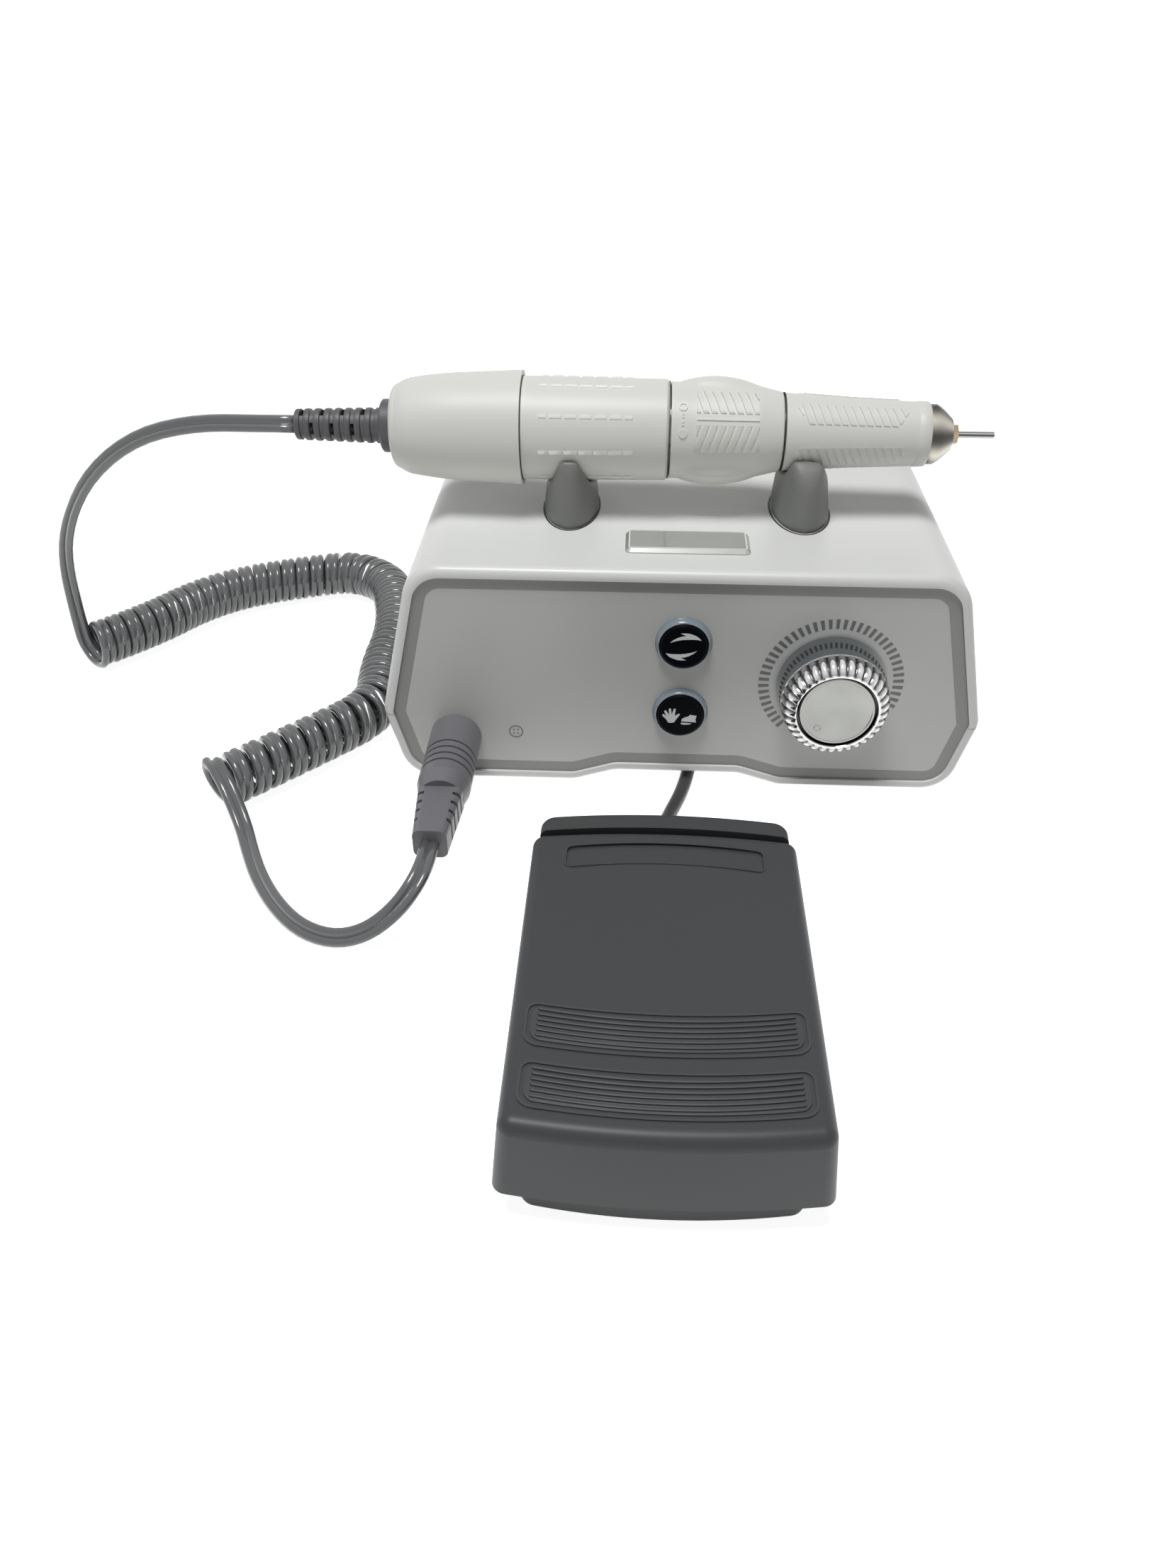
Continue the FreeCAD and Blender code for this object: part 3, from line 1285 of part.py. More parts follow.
def pedal_shell():
    """The pedal's cover, base, pivot pin and what lies on them."""
    back, front = S.cover_back, S.pedal_front
    top = S.pedal_high
    high = top - S.cover_low
    outer = pedal_block("cover_outer", S.pedal_half, back, front, S.cover_low, high, S.pedal_top_half)
    upright = float(high) - 1
    outer = softened(
        "cover_soft", outer, S.pedal_edge_r, lambda e: e.BoundBox.ZLength > upright or lies_at(e, 2, top)
    )
    wall = S.pedal_wall
    inner = pedal_block(
        "cover_inner", S.pedal_half - wall, back - wall, front + wall, S.cover_low - 1, high - wall + 1,
        S.pedal_top_half - wall,
    )
    label = pedal_block(
        "label_pocket", S.label_half, S.label_back, S.label_back - S.label_deep, top - S.label_sink,
        S.label_sink + 2, dished=True,
    )
    label = softened("label_soft", label, S.label_corner_r, lambda e: runs_along(e, 2))
    shell = cut("cover_shell", outer, inner, label)
    ears = []
    ear_low = S.pivot_up - S.ear_r
    for i, side in enumerate((-1, 1)):
        x = S.pedal_x + side * S.ear_x - (S.ear_thick if side < 0 else 0)
        y = from_front(S.pivot_back)
        web_high = top - wall / 2 - S.pivot_up
        ears.append(brick(f"ear_web{i}", S.ear_thick, S.ear_r * 2, web_high, (x, y - S.ear_r, S.pivot_up)))
        ears.append(rod(f"ear_eye{i}", S.ear_r, S.ear_thick, (x, y, S.pivot_up), "X"))
    bore = rod(
        "ear_bore", S.pivot_r + S.pivot_play, S.ear_x * 2 + S.ear_thick * 4,
        (S.pedal_x - S.ear_x - S.ear_thick * 2, from_front(S.pivot_back), S.pivot_up), "X",
    )
    node("pedal_cover", cut("cover_bored", fused("cover_ears", shell, *ears), bore))
    inset, rib = S.base_inset, S.base_rib
    foot = S.pedal_foot_high
    half, rear, near = S.pedal_half - inset, back - inset, front + inset - S.base_front_out
    floor = pedal_block("base_floor_slab", half, rear, near, foot, S.base_floor)
    wall_block = pedal_block("base_wall", half, rear, near, foot, S.cover_low + 2 - foot)
    wall_inner = pedal_block(
        "base_room", half - rib, rear - rib, near + rib, foot + S.base_floor, S.cover_low + 3 - foot,
    )
    floor = softened("base_floor_soft", floor, S.base_corner_r, lambda e: runs_along(e, 2))
    wall_block = softened("base_wall_soft", wall_block, S.base_corner_r, lambda e: runs_along(e, 2))
    rim = cut("base_rim", wall_block, wall_inner)
    tail = pedal_block(
        "base_tail", S.base_tail_half, S.pedal_back, S.base_tail_front, foot, top - S.tail_step - foot,
        S.base_tail_half - 1, dished=True,
    )
    behind = float(from_front(S.pedal_back)) - float(S.pedal_bow) - 0.1
    tall = float(top - S.tail_step - foot) - 1
    tail = softened(
        "base_tail_corners", tail, S.tail_corner_r,
        lambda e: e.BoundBox.ZLength > tall and e.BoundBox.YMin > behind,
    )
    hindmost = float(from_front(S.pedal_back)) - 0.1
    tail = softened(
        "base_tail_soft", tail, S.pedal_tail_edge_r,
        lambda e: lies_at(e, 2, top - S.tail_step) and e.BoundBox.YMax > hindmost,
    )
    bridge = pedal_block(
        "base_bridge", S.base_tail_half - S.bridge_inset, S.base_tail_front + S.bridge_lap,
        rear - S.bridge_lap - 1, foot, S.base_floor, bow=Size(0.5, "0.5"),
    )
    posts = []
    post_high = S.pivot_up + S.ear_r - foot
    for i, side in enumerate((-1, 1)):
        x = S.pedal_x + side * (S.ear_x + S.ear_thick + S.pivot_gap) - (rib if side < 0 else 0)
        at = (x, from_front(S.pivot_back) - S.ear_r, foot)
        posts.append(brick(f"base_post{i}", rib, S.ear_r * 2, post_high, at))
    pin_long = (S.ear_x + S.ear_thick + S.pivot_gap + rib) * 2
    pin_at = (S.pedal_x - pin_long / 2, from_front(S.pivot_back), S.pivot_up)
    pin_bore = rod("base_pin_bore", S.pivot_r, pin_long + 4, (pin_at[0] - 2, *pin_at[1:]), "X")
    seats, feet = [], []
    for i, (x, back_of) in enumerate(pedal_foot_places()):
        at = (S.pedal_x + x, from_front(back_of))
        feet.append(rod(f"pedal_foot{i}", S.pedal_foot_r, foot + S.pedal_foot_sink, (*at, 0)))
        seats.append(rod(f"pedal_seat{i}", S.pedal_foot_r + S.fit, S.pedal_foot_sink + 1, (*at, foot - 1)))
    base = fused("base_solid", floor, rim, tail, bridge, *posts)
    node("pedal_base", cut("base_cut", base, pin_bore, *seats))
    node("pedal_feet", group("pedal_foot_set", *feet))
    node("pedal_pivot_pin", rod("pivot_pin", S.pivot_r, pin_long, pin_at, "X"))
    grips = [bowed_grip(f"grip{i}", start, top) for i, start in enumerate((S.grip_first, S.grip_second))]
    node("pedal_grips", group("grip_pads", *grips))


def bowed_grip(name, start, top):
    """One rubber pad: both long edges bow forwards."""
    far = start - S.grip_deep
    bow = S.grip_bow
    corners = [(-S.grip_half, start), (S.grip_half, start), (S.grip_half, far), (-S.grip_half, far)]
    at = (S.pedal_x, S.front_plane_y, top)
    return plate(name, "XY_Plane", corners, S.grip_high, at, {0: bow, 2: -bow})


def pedal_foot_places():
    backs = (S.pedal_foot_back, S.pedal_foot_front)
    return [(side * S.pedal_foot_x, back) for back in backs for side in (-1, 1)]


def pedal_works():
    """Return springs, sensor and cable gland."""
    floor_top = S.pedal_foot_high + S.base_floor
    under = S.pedal_high - S.pedal_wall
    springs = []
    for i, side in enumerate((-1, 1)):
        coil = doc.addObject("Part::Helix", f"spring_line{i}")
        free = under - floor_top - S.spring_wire
        tie(coil, "Pitch", free / S.spring_turns)
        tie(coil, "Height", free)
        tie(coil, "Radius", S.spring_r)
        at = (S.pedal_x + side * S.spring_x, from_front(S.spring_back), floor_top + S.spring_wire / 2)
        wire = doc.addObject("Part::Circle", f"spring_wire{i}")
        tie(wire, "Radius", S.spring_wire / 2)
        wire.Placement = Placement(Vector(float(S.spring_r), 0, 0), Rotation(Vector(1, 0, 0), 90))
        tie(wire, ".Placement.Base.x", S.spring_r)
        sweep = doc.addObject("Part::Sweep", f"spring{i}")
        sweep.Sections = [wire]
        sweep.Spine = (coil, [])
        sweep.Solid = True
        sweep.Frenet = True
        springs.append(put(sweep, at))
    node("pedal_springs", group("springs", *springs))
    node("pedal_switch", brick(
        "pedal_switch_body", S.switch_body_long, S.switch_body_thick, S.switch_body_high,
        (S.pedal_x - S.switch_body_long / 2, from_front(S.switch_body_back), floor_top),
    ))
    reach, tip = S.gland_seat, S.gland_seat + S.gland_long
    at = (S.pedal_x, from_front(S.pedal_back - reach), S.gland_up)
    node("pedal_cable_gland", facing_back("gland", [
        (0, 0), (0, S.gland_r), (reach + S.gland_long / 2, S.gland_r), (tip, S.gland_end_r), (tip, 0),
    ], at))
    base = next(o for o in NODES if o.Label == "pedal_base")
    NODES.remove(base)
    hole = rod("gland_hole", S.gland_r + S.fit, reach + 4, at, "Y")
    base.Label = "pedal_base_solid"
    node("pedal_base", cut("base_gland_cut", base, hole))
    face = from_front(S.case_depth - S.back_inset) + S.jack_nut
    plug_end, grip, pin, pin_tip = S.pedal_plug_long, S.pedal_plug_r, S.jack_bore_r - S.fit, 2 - S.jack_deep
    node("pedal_plug", facing_back("pedal_plug_body", [
        (pin_tip, 0), (pin_tip, pin), (0, pin), (0, grip), (plug_end * 0.7, grip),
        (plug_end * 0.75, grip * 0.65), (plug_end, grip * 0.55), (plug_end, 0),
    ], (JACK_X, face, S.jack_up)))


def size(name):
    """A number as the sheet holds it now."""
    return float(sheet.get(name))


def here(points):
    """Points given from the middle of the box's front rim, as vectors in the frame of the whole."""
    return [Vector(x + size("middle_x"), y + size("front_plane_y"), z) for x, y, z in points]


def unit(vector):
    return Vector(vector) / vector.Length


def rounded_path(points, share=0.45):
    """Straight runs with an arc at each corner, as edges; also gives the arc radii."""
    edges, radii = [], []
    last = points[0]
    for before, corner, after in zip(points, points[1:], points[2:]):
        into, out = unit(corner - before), unit(after - corner)
        turn = into.getAngle(out)
        if turn < 0.01:
            continue
        reach = share * min((corner - before).Length, (after - corner).Length)
        start, stop = corner - into * reach, corner + out * reach
        radius = reach / math.tan(turn / 2)
        inward = unit(out - into)
        middle = corner + inward * (radius / math.cos(turn / 2) - radius)
        edges.append(Part.LineSegment(last, start).toShape())
        edges.append(Part.Arc(start, middle, stop).toShape())
        radii.append(radius)
        last = stop
    edges.append(Part.LineSegment(last, points[-1]).toShape())
    return edges, radii


def tube(name, edges, diameter):
    """A round tube along edges that run on from one another, as one solid."""
    line = Part.Wire(edges)
    first = edges[0]
    start = first.valueAt(first.FirstParameter)
    along = first.tangentAt(first.FirstParameter)
    ring = Part.Wire([Part.Circle(start, along, diameter / 2).toShape()])
    solid = line.makePipeShell([ring], True, False)
    if solid.ShapeType != "Solid":
        solid = Part.Solid(solid.Shells[0])
    length = sum(e.Length for e in edges)
    fill = solid.Volume / (math.pi * diameter ** 2 / 4 * length)
    print(f"{name}: {length:.1f} mm long, volume {fill:.4f} of section times length")
    piece = doc.addObject("Part::Feature", name)
    piece.Shape = solid
    return piece


def free_cord(name, points, diameter):
    edges, radii = rounded_path(points)
    print(f"{name}: least arc radius {min(radii):.1f} mm")
    node(name, tube(name + "_tube", edges, diameter))


def arc_pair(start, start_way, stop, stop_way):
    """Two arcs that join two points with given directions."""
    span = stop - start
    both = start_way + stop_way
    spread = 2 * (1 - start_way.dot(stop_way))
    along = span.dot(both)
    if spread < 1e-9:
        reach = span.dot(span) / (2 * along)
    else:
        reach = (-along + math.sqrt(along ** 2 + spread * span.dot(span))) / spread
    first, second = start + start_way * reach, stop - stop_way * reach
    middle = (first + second) * 0.5
    return [through(start, first, middle), through(middle, second, stop)]


def through(start, knee, stop):
    """An arc from start to stop whose end tangents meet at knee."""
    chord = stop - start
    turn = (knee - start).getAngle(stop - knee)
    foot = (start + stop) * 0.5
    if turn < 1e-6:
        return Part.LineSegment(start, stop).toShape()
    rise = chord.Length / 2 * math.tan(turn / 4)
    return Part.Arc(start, foot + unit(knee - foot) * rise, stop).toShape()


def wound(points, ways):
    edges = []
    for i in range(len(points) - 1):
        edges += arc_pair(points[i], ways[i], points[i + 1], ways[i + 1])
    return edges


def least_gap(points, diameter, apart):
    """The least gap between parts of a wound cord that are further than apart from one another along it."""
    least = 1e9
    cell = diameter * 2
    grid = {}
    run = 0.0
    for i, point in enumerate(points):
        run += (point - points[i - 1]).Length if i else 0.0
        key = tuple(int(math.floor(c / cell)) for c in point)
        for dx in (-1, 0, 1):
            for dy in (-1, 0, 1):
                for dz in (-1, 0, 1):
                    for other, far in grid.get((key[0] + dx, key[1] + dy, key[2] + dz), ()):
                        if run - far > apart:
                            least = min(least, (point - other).Length)
        grid.setdefault(key, []).append((point, run))
    return least - diameter


COIL_LINE = [
    (-198, 62), (-184, 76.5), (-172, 96.5), (-158, 108.5), (-138.5, 117), (-120, 123), (-104.5, 112.5),
    (-98.5, 93), (-95.5, 72), (-96, 50), (-93, 27), (-108, 9), (-131.5, -15.5),
]


def coil_frame():
    """The line that the curly cord winds about: places, directions and curvature at even steps."""
    edges, radii = rounded_path(here([(x, y, 0) for x, y in COIL_LINE]), 0.49)
    print(f"curly_cord line: least arc radius {min(radii):.1f} mm")
    rows = []
    run = 0.0
    for edge in edges:
        count = max(2, round(edge.Length / 0.25))
        bend = 0.0 if edge.Curve.TypeId == "Part::GeomLine" else 1 / edge.Curve.Radius
        low, high = edge.FirstParameter, edge.LastParameter
        points = [edge.valueAt(low + (high - low) * k / count) for k in range(count + 1)]
        ways = [edge.tangentAt(low + (high - low) * k / count) for k in range(count + 1)]
        if rows and (points[0] - rows[-1][1]).Length > (points[-1] - rows[-1][1]).Length:
            points.reverse()
            ways = [-w for w in reversed(ways)]
        for k in range(1 if rows else 0, count + 1):
            rows.append((run + edge.Length * k / count, points[k], ways[k], bend))
        run += edge.Length
    return rows


def window(values, i, span):
    return values[max(0, i - span):i + span + 1]


def coil_path():
    """Points and directions of the curly cord, a quarter turn apart, and close points for the gap."""
    cord = size("cord_d")
    radius = size("coil_outer_d") / 2 - cord / 2
    up = size("coil_outer_d") / 2 + size("coil_lift")
    rows = coil_frame()
    total = rows[-1][0]
    need = cord + FINE + 0.1
    spread = size("coil_open")
    raw = []
    for run, _, _, bend in rows:
        raw.append(max(need * (1 + spread * run / total), need / (1 - radius * bend)))
    raw = [max(window(raw, i, 16)) for i in range(len(raw))]
    smooth = [sum(window(raw, i, 16)) / len(window(raw, i, 16)) for i in range(len(raw))]
    phase = [0.0]
    for i in range(1, len(rows)):
        phase.append(phase[-1] + (rows[i][0] - rows[i - 1][0]) / smooth[i])
    turns = math.floor(phase[-1]) + COIL_END_SHARE
    if turns > phase[-1]:
        turns -= 1
    scale = turns / phase[-1]
    phase = [p * scale for p in phase]
    print(f"curly_cord: {turns:.3f} turns over {total:.1f} mm")

    def at(turn):
        turn = min(max(turn, 0.0), turns)
        low, high = 0, len(phase) - 1
        while high - low > 1:
            middle = (low + high) // 2
            low, high = (middle, high) if phase[middle] <= turn else (low, middle)
        share = (turn - phase[low]) / (phase[high] - phase[low])
        place = rows[low][1] + (rows[high][1] - rows[low][1]) * share
        way = unit(rows[low][2] + (rows[high][2] - rows[low][2]) * share)
        left = Vector(-way.y, way.x, 0)
        angle = 2 * math.pi * turn
        return place + left * (radius * math.cos(angle)) + Vector(0, 0, up - radius * math.sin(angle))

    def heading(turn):
        low, high = max(0.0, turn - 0.002), min(turns, turn + 0.002)
        return unit(at(high) - at(low))

    steps = math.ceil(turns * 4)
    marks = [turns * i / steps for i in range(steps + 1)]
    close = [at(turns * i / (steps * 12)) for i in range(steps * 12 + 1)]
    return [at(m) for m in marks], [heading(m) for m in marks], close


COIL_END_SHARE = 0.847            # the last turn stops a little past the top


def cords():
    """The handpiece cord: two free stretches and the curly one between them."""
    cord = size("cord_d")
    points, ways, close = coil_path()
    gap = least_gap(close, cord, cord * 3)
    print(f"curly_cord: least gap to itself {gap:.2f} mm")
    ways[0] = Vector(0, 0, -1)
    lead = cord * 1.1
    start = points[0] - ways[0] * lead
    stop = points[-1] + ways[-1] * lead
    edges = [Part.LineSegment(start, points[0]).toShape()]
    edges += wound(points, ways)
    edges.append(Part.LineSegment(points[-1], stop).toShape())
    node("curly_cord", tube("curly_tube", edges, cord))
    axis = (size("axis_back"), float(AXIS_UP))
    back = here([
        (size("boot_end_x"), *axis), (-122, *axis), (-141, 44.3, 92.8), (-161, 47.5, 87),
        (-180, 52.5, 73), (-193.5, 58, 54.5), (-200.5, 63.5, 38),
    ])
    back += [start + Vector(0, 0, 10), start]
    free_cord("rear_cord", back, cord)
    for word, place in (("starts", start), ("stops", stop)):
        print(f"curly_cord {word} at {tuple(round(c, 2) for c in place)}")
    front = [stop, stop + ways[-1] * 5.2]
    front += here([
        (-120.6, -29.2, 5.0), (-117, -37.3, 3.1), (-111.6, -48, 2.4), (-104, -59, 2.3), (-95.5, -67.3, 2.3),
        (-86, -70.9, 2.5), (-77.5, -70.6, 5.2), (-70.8, -67.2, 9.6), (-66.6, -63.2, 14.0),
    ])
    end_y = size("panel_recess") - size("plug_nose") - size("plug_relief_long")
    end = here([(float(PLUG_X), end_y, size("plug_up"))])[0]
    front += [end + Vector(0, -7.2, 0), end]
    free_cord("front_cord", front, cord)


def pedal_cable():
    """The pedal's cable: out under the box, a put-away coil behind it, and up to the jack."""
    cable = size("cable_d")
    low = cable / 2 + size("cable_lift")
    step = size("cable_loop_step")
    inner = size("cable_loop_in")
    loops = round(size("cable_loops"))
    outer = inner + step * loops
    rise = size("cable_layer_step")
    lead_x, behind_box = 5.0, 48
    middle = here([(lead_x - outer, size("case_depth") + behind_box, 0)])[0]
    total = loops + 0.5 + loops - 0.25

    def at(turn):
        angle = 2 * math.pi * turn
        if turn <= loops:
            radius, high = outer - step * turn, low
        elif turn <= loops + 0.5:
            share = (turn - loops) * 2
            radius = inner - step / (2 * math.pi) * math.sin(math.pi * share)
            high = low + rise * (3 * share ** 2 - 2 * share ** 3)
        else:
            radius, high = inner + step * (turn - loops - 0.5), low + rise
        return middle + Vector(radius * math.cos(angle), radius * math.sin(angle), high)

    def heading(turn):
        a, b = max(0.0, turn - 0.001), min(total, turn + 0.001)
        return unit(at(b) - at(a))

    marks = [i / 8 for i in range(round(total * 8) + 1)]
    points, ways = [at(m) for m in marks], [heading(m) for m in marks]
    gap = least_gap([at(total * i / 3000) for i in range(3001)], cable, cable * 3)
    print(f"pedal_cable_coil: {total} turns, least gap to itself {gap:.2f} mm")
    start = points[0] - ways[0] * cable
    stop = points[-1] + ways[-1] * cable
    edges = [Part.LineSegment(start, points[0]).toShape()]
    edges += wound(points, ways)
    edges.append(Part.LineSegment(points[-1], stop).toShape())
    node("pedal_cable_coil", tube("pedal_coil_tube", edges, cable))
    exit_y = size("pedal_back") + size("gland_long")
    up = size("gland_up")
    x = size("pedal_x")
    path = here([
        (x, exit_y, up), (x, exit_y + 8, up), (x + 0.5, exit_y + 16, 4.4), (-2.0, exit_y + 25.5, 2.3),
        (2.0, -3.5, low), (4.6, 10, low), (6.2, 32, low), (6.6, 62, low), (5.6, 92, low),
    ])
    path += [start - ways[0] * 30, start]
    free_cord("pedal_cable", path, cable)
    plug_back = size("case_depth") - size("back_inset") + size("jack_nut") + size("pedal_plug_long")
    end = here([(float(JACK_X), plug_back, size("jack_up"))])[0]
    path = [stop, stop + ways[-1] * 14]
    path.append(path[-1] + Vector(-14.5, -9.5, 0.9))
    path.append(Vector(end.x - 4.6, end.y + 34, 11))
    path.append(Vector(end.x - 3.6, end.y + 19.5, 17.8))
    path += [end + Vector(0, 7.5, 0), end]
    free_cord("pedal_cable_end", path, cable)


def finish():
    """Checks every object, then writes one file per sub-part."""
    doc.recompute()
    for obj in doc.Objects:
        if "Invalid" in obj.State or "Error" in obj.State:
            raise ValueError(f"{obj.Name}: {obj.State}")
    os.makedirs("parts", exist_ok=True)
    for obj in NODES:
        shape = obj.Shape
        if shape.isNull() or not shape.isValid() or not shape.Solids:
            raise ValueError(f"{obj.Label}: bad shape")
        shape.exportStep(f"parts/{obj.Label}.step")
    print(f"{len(NODES)} sub-parts written")


housings()
front_panel()
rests()
nameplate()
buttons()
speed_control()
electronics()
motor_connection()
back_parts()
handpiece_shell()
handpiece_works()
pedal_shell()
pedal_works()
cords()
pedal_cable()
finish()
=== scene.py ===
"""Looks of a dental bench micromotor: control box, motor handpiece on a curly cord, and foot pedal.

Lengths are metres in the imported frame; numbers given with MM are millimetres. Points called "from the rim"
count X from the middle of the box, Y from its front rim and Z from the bench.
"""
import bmesh
import bpy
import json
import math
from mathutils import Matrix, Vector


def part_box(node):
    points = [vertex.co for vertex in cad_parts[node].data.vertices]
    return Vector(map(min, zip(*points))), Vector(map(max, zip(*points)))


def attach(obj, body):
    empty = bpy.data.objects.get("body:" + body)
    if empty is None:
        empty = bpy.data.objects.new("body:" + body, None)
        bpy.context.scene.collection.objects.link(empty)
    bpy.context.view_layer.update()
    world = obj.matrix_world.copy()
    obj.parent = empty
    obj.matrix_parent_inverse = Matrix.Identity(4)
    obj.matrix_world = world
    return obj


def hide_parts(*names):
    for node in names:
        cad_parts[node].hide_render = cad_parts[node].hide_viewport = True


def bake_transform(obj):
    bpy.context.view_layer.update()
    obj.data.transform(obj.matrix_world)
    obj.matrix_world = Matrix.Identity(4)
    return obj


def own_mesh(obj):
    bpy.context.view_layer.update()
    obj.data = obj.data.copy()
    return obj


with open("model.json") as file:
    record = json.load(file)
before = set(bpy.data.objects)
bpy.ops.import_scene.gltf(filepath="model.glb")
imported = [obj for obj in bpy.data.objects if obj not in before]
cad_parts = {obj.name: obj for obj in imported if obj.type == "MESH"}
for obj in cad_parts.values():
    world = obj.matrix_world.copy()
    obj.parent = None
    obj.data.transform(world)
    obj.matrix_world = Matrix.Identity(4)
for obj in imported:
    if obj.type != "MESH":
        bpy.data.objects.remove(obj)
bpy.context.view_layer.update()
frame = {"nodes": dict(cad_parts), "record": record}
NODES = frame["nodes"]
MM = 0.001
RIGHT = Vector((1, 0, 0))
OUT = Vector((0, -1, 0))
UP = Vector((0, 0, 1))

bl_info = {
    "name": "Dental micromotor",
    "version": (1, 0, 0),
    "blender": (4, 5, 0),
    "location": "3D View > Sidebar > Micromotor",
    "description": "Dresses a dental micromotor's frame with modelled pieces and finishes",
    "category": "Object",
}


def middle_of(node):
    low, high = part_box(node)
    return (low + high) / 2


RIM = Vector((middle_of("front_panel").x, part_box("lower_housing")[0].y, 0))
AXIS = Vector((0, middle_of("motor_housing").y, middle_of("motor_housing").z))


def spot(x, y, z):
    """A point given in millimetres from the rim."""
    return RIM + Vector((x, y, z)) * MM


def along(x):
    """A point on the handpiece axis, its X in millimetres from the middle of the box."""
    return Vector((RIM.x + x * MM, AXIS.y, AXIS.z))


def from_middle(x):
    """Millimetres from the middle of the box to a place's X."""
    return (x - RIM.x) / MM


# Finishes

def feed(tree, value, socket):
    """Links a socket to another one, or sets it to a value."""
    if isinstance(value, bpy.types.NodeSocket):
        tree.links.new(value, socket)
    else:
        socket.default_value = value


def shader_node(tree, kind, inputs=(), **settings):
    """A new node with these settings, its inputs given by name or number."""
    node = tree.nodes.new("ShaderNode" + kind)
    for key, value in settings.items():
        setattr(node, key, value)
    for key, value in inputs:
        feed(tree, value, node.inputs[key])
    return node


def calc(tree, operation, *values):
    """A Math node on these sockets or numbers."""
    return shader_node(tree, "Math", enumerate(values), operation=operation).outputs[0]


def noise(tree, vector, scale, detail):
    rows = [("Vector", vector), ("Scale", scale), ("Detail", detail)]
    return shader_node(tree, "TexNoise", rows).outputs["Fac"]


def scaled(tree, color, factor):
    return shader_node(tree, "VectorMath", [(0, color), ("Scale", factor)], operation="SCALE").outputs[0]


def surface_group(name, more):
    """An empty group that takes a colour, a roughness and more, and puts out a colour, a roughness and a height."""
    tree = bpy.data.node_groups.new(name, "ShaderNodeTree")
    for key, value in {"Color": (0.8, 0.8, 0.8, 1), "Roughness": 0.4, **more}.items():
        kind = {4: "Color", 3: "Vector"}[len(value)] if isinstance(value, tuple) else "Float"
        tree.interface.new_socket(key, in_out="INPUT", socket_type="NodeSocket" + kind).default_value = value
    for key, kind in (("Color", "Color"), ("Roughness", "Float"), ("Height", "Float")):
        tree.interface.new_socket(key, in_out="OUTPUT", socket_type="NodeSocket" + kind)
    given = tree.nodes.new("NodeGroupInput").outputs
    place = tree.nodes.new("ShaderNodeTexCoord").outputs["Object"]
    return tree, given, place, tree.nodes.new("NodeGroupOutput").inputs


def moulded_group():
    """Grain, slight mottling, handling marks and dust of a moulded or painted surface."""
    tree, given, place, out = surface_group("moulded_surface", {
        "Mottling": 0.03, "Patch Scale": 18.0, "Grain Scale": 2500.0, "Smudges": 0.06, "Dust": 0.0,
    })
    link = tree.links.new
    patches = calc(tree, "SUBTRACT", noise(tree, place, given["Patch Scale"], 4.0), 0.5)
    shade = calc(tree, "MULTIPLY_ADD", patches, given["Mottling"], 1.0)
    cells = shader_node(tree, "TexVoronoi", [("Scale", 95.0), ("Vector", place)]).outputs
    apart = shader_node(tree, "SeparateColor", [(0, cells["Color"])]).outputs
    chosen = calc(tree, "GREATER_THAN", apart[0], 0.8)
    size = calc(tree, "MULTIPLY", apart[1], 0.035)
    speck = calc(tree, "MULTIPLY", calc(tree, "LESS_THAN", cells["Distance"], size), chosen)
    dusted = calc(tree, "MULTIPLY", speck, given["Dust"])
    clean, dust = scaled(tree, given["Color"], shade), (0.35, 0.35, 0.34, 1)
    mix = shader_node(tree, "Mix", [("Factor", dusted), (6, clean), (7, dust)], data_type="RGBA")
    link(mix.outputs[2], out["Color"])
    marks = calc(tree, "SUBTRACT", noise(tree, place, 70.0, 6.0), 0.45)
    link(calc(tree, "MULTIPLY_ADD", marks, given["Smudges"], given["Roughness"]), out["Roughness"])
    link(noise(tree, place, given["Grain Scale"], 2.0), out["Height"])
    return tree


def turned_group():
    """Fine lines left by a lathe or a brush, drawn out along two of the three axes."""
    more = {"Stretch": (6000.0, 60.0, 60.0), "Streaks": 0.15}
    tree, given, place, out = surface_group("turned_metal", more)
    link = tree.links.new
    drawn = shader_node(tree, "VectorMath", [(0, place), (1, given["Stretch"])], operation="MULTIPLY")
    lines = noise(tree, drawn.outputs[0], 1.0, 4.0)
    shade = calc(tree, "MULTIPLY_ADD", calc(tree, "SUBTRACT", lines, 0.5), given["Streaks"], 1.0)
    link(scaled(tree, given["Color"], shade), out["Color"])
    link(calc(tree, "MULTIPLY", given["Roughness"], shade), out["Roughness"])
    link(lines, out["Height"])
    return tree


def new_material(name):
    material = bpy.data.materials.new(name)
    material.use_nodes = True
    return material, material.node_tree, material.node_tree.nodes["Principled BSDF"].inputs


def finish(name, group, color, roughness, bump, more=()):
    """A material whose colour, roughness and relief come from a shared group; more sets other sockets."""
    material, tree, shader = new_material(name)
    node = shader_node(tree, "Group", [("Color", (*color, 1)), ("Roughness", roughness)], node_tree=group)
    given = node.outputs
    relief = shader_node(tree, "Bump", [("Distance", 0.1 * MM), ("Strength", bump), ("Height", given["Height"])])
    feed(tree, given["Color"], shader["Base Color"])
    feed(tree, given["Roughness"], shader["Roughness"])
    feed(tree, relief.outputs["Normal"], shader["Normal"])
    for key, value in dict(more).items():
        socket = key.replace("_", " ").title().replace("Ior", "IOR")
        holder = node.inputs if socket in node.inputs else shader
        holder[socket].default_value = value
    return material


def darken_by(material, attribute):
    """Multiplies a material's colour by an attribute of the piece's points."""
    tree = material.node_tree
    base = tree.nodes["Principled BSDF"].inputs["Base Color"]
    read = shader_node(tree, "Attribute", attribute_name=attribute)
    tree.links.new(scaled(tree, base.links[0].from_socket, read.outputs["Fac"]), base)


FINISHES = {}


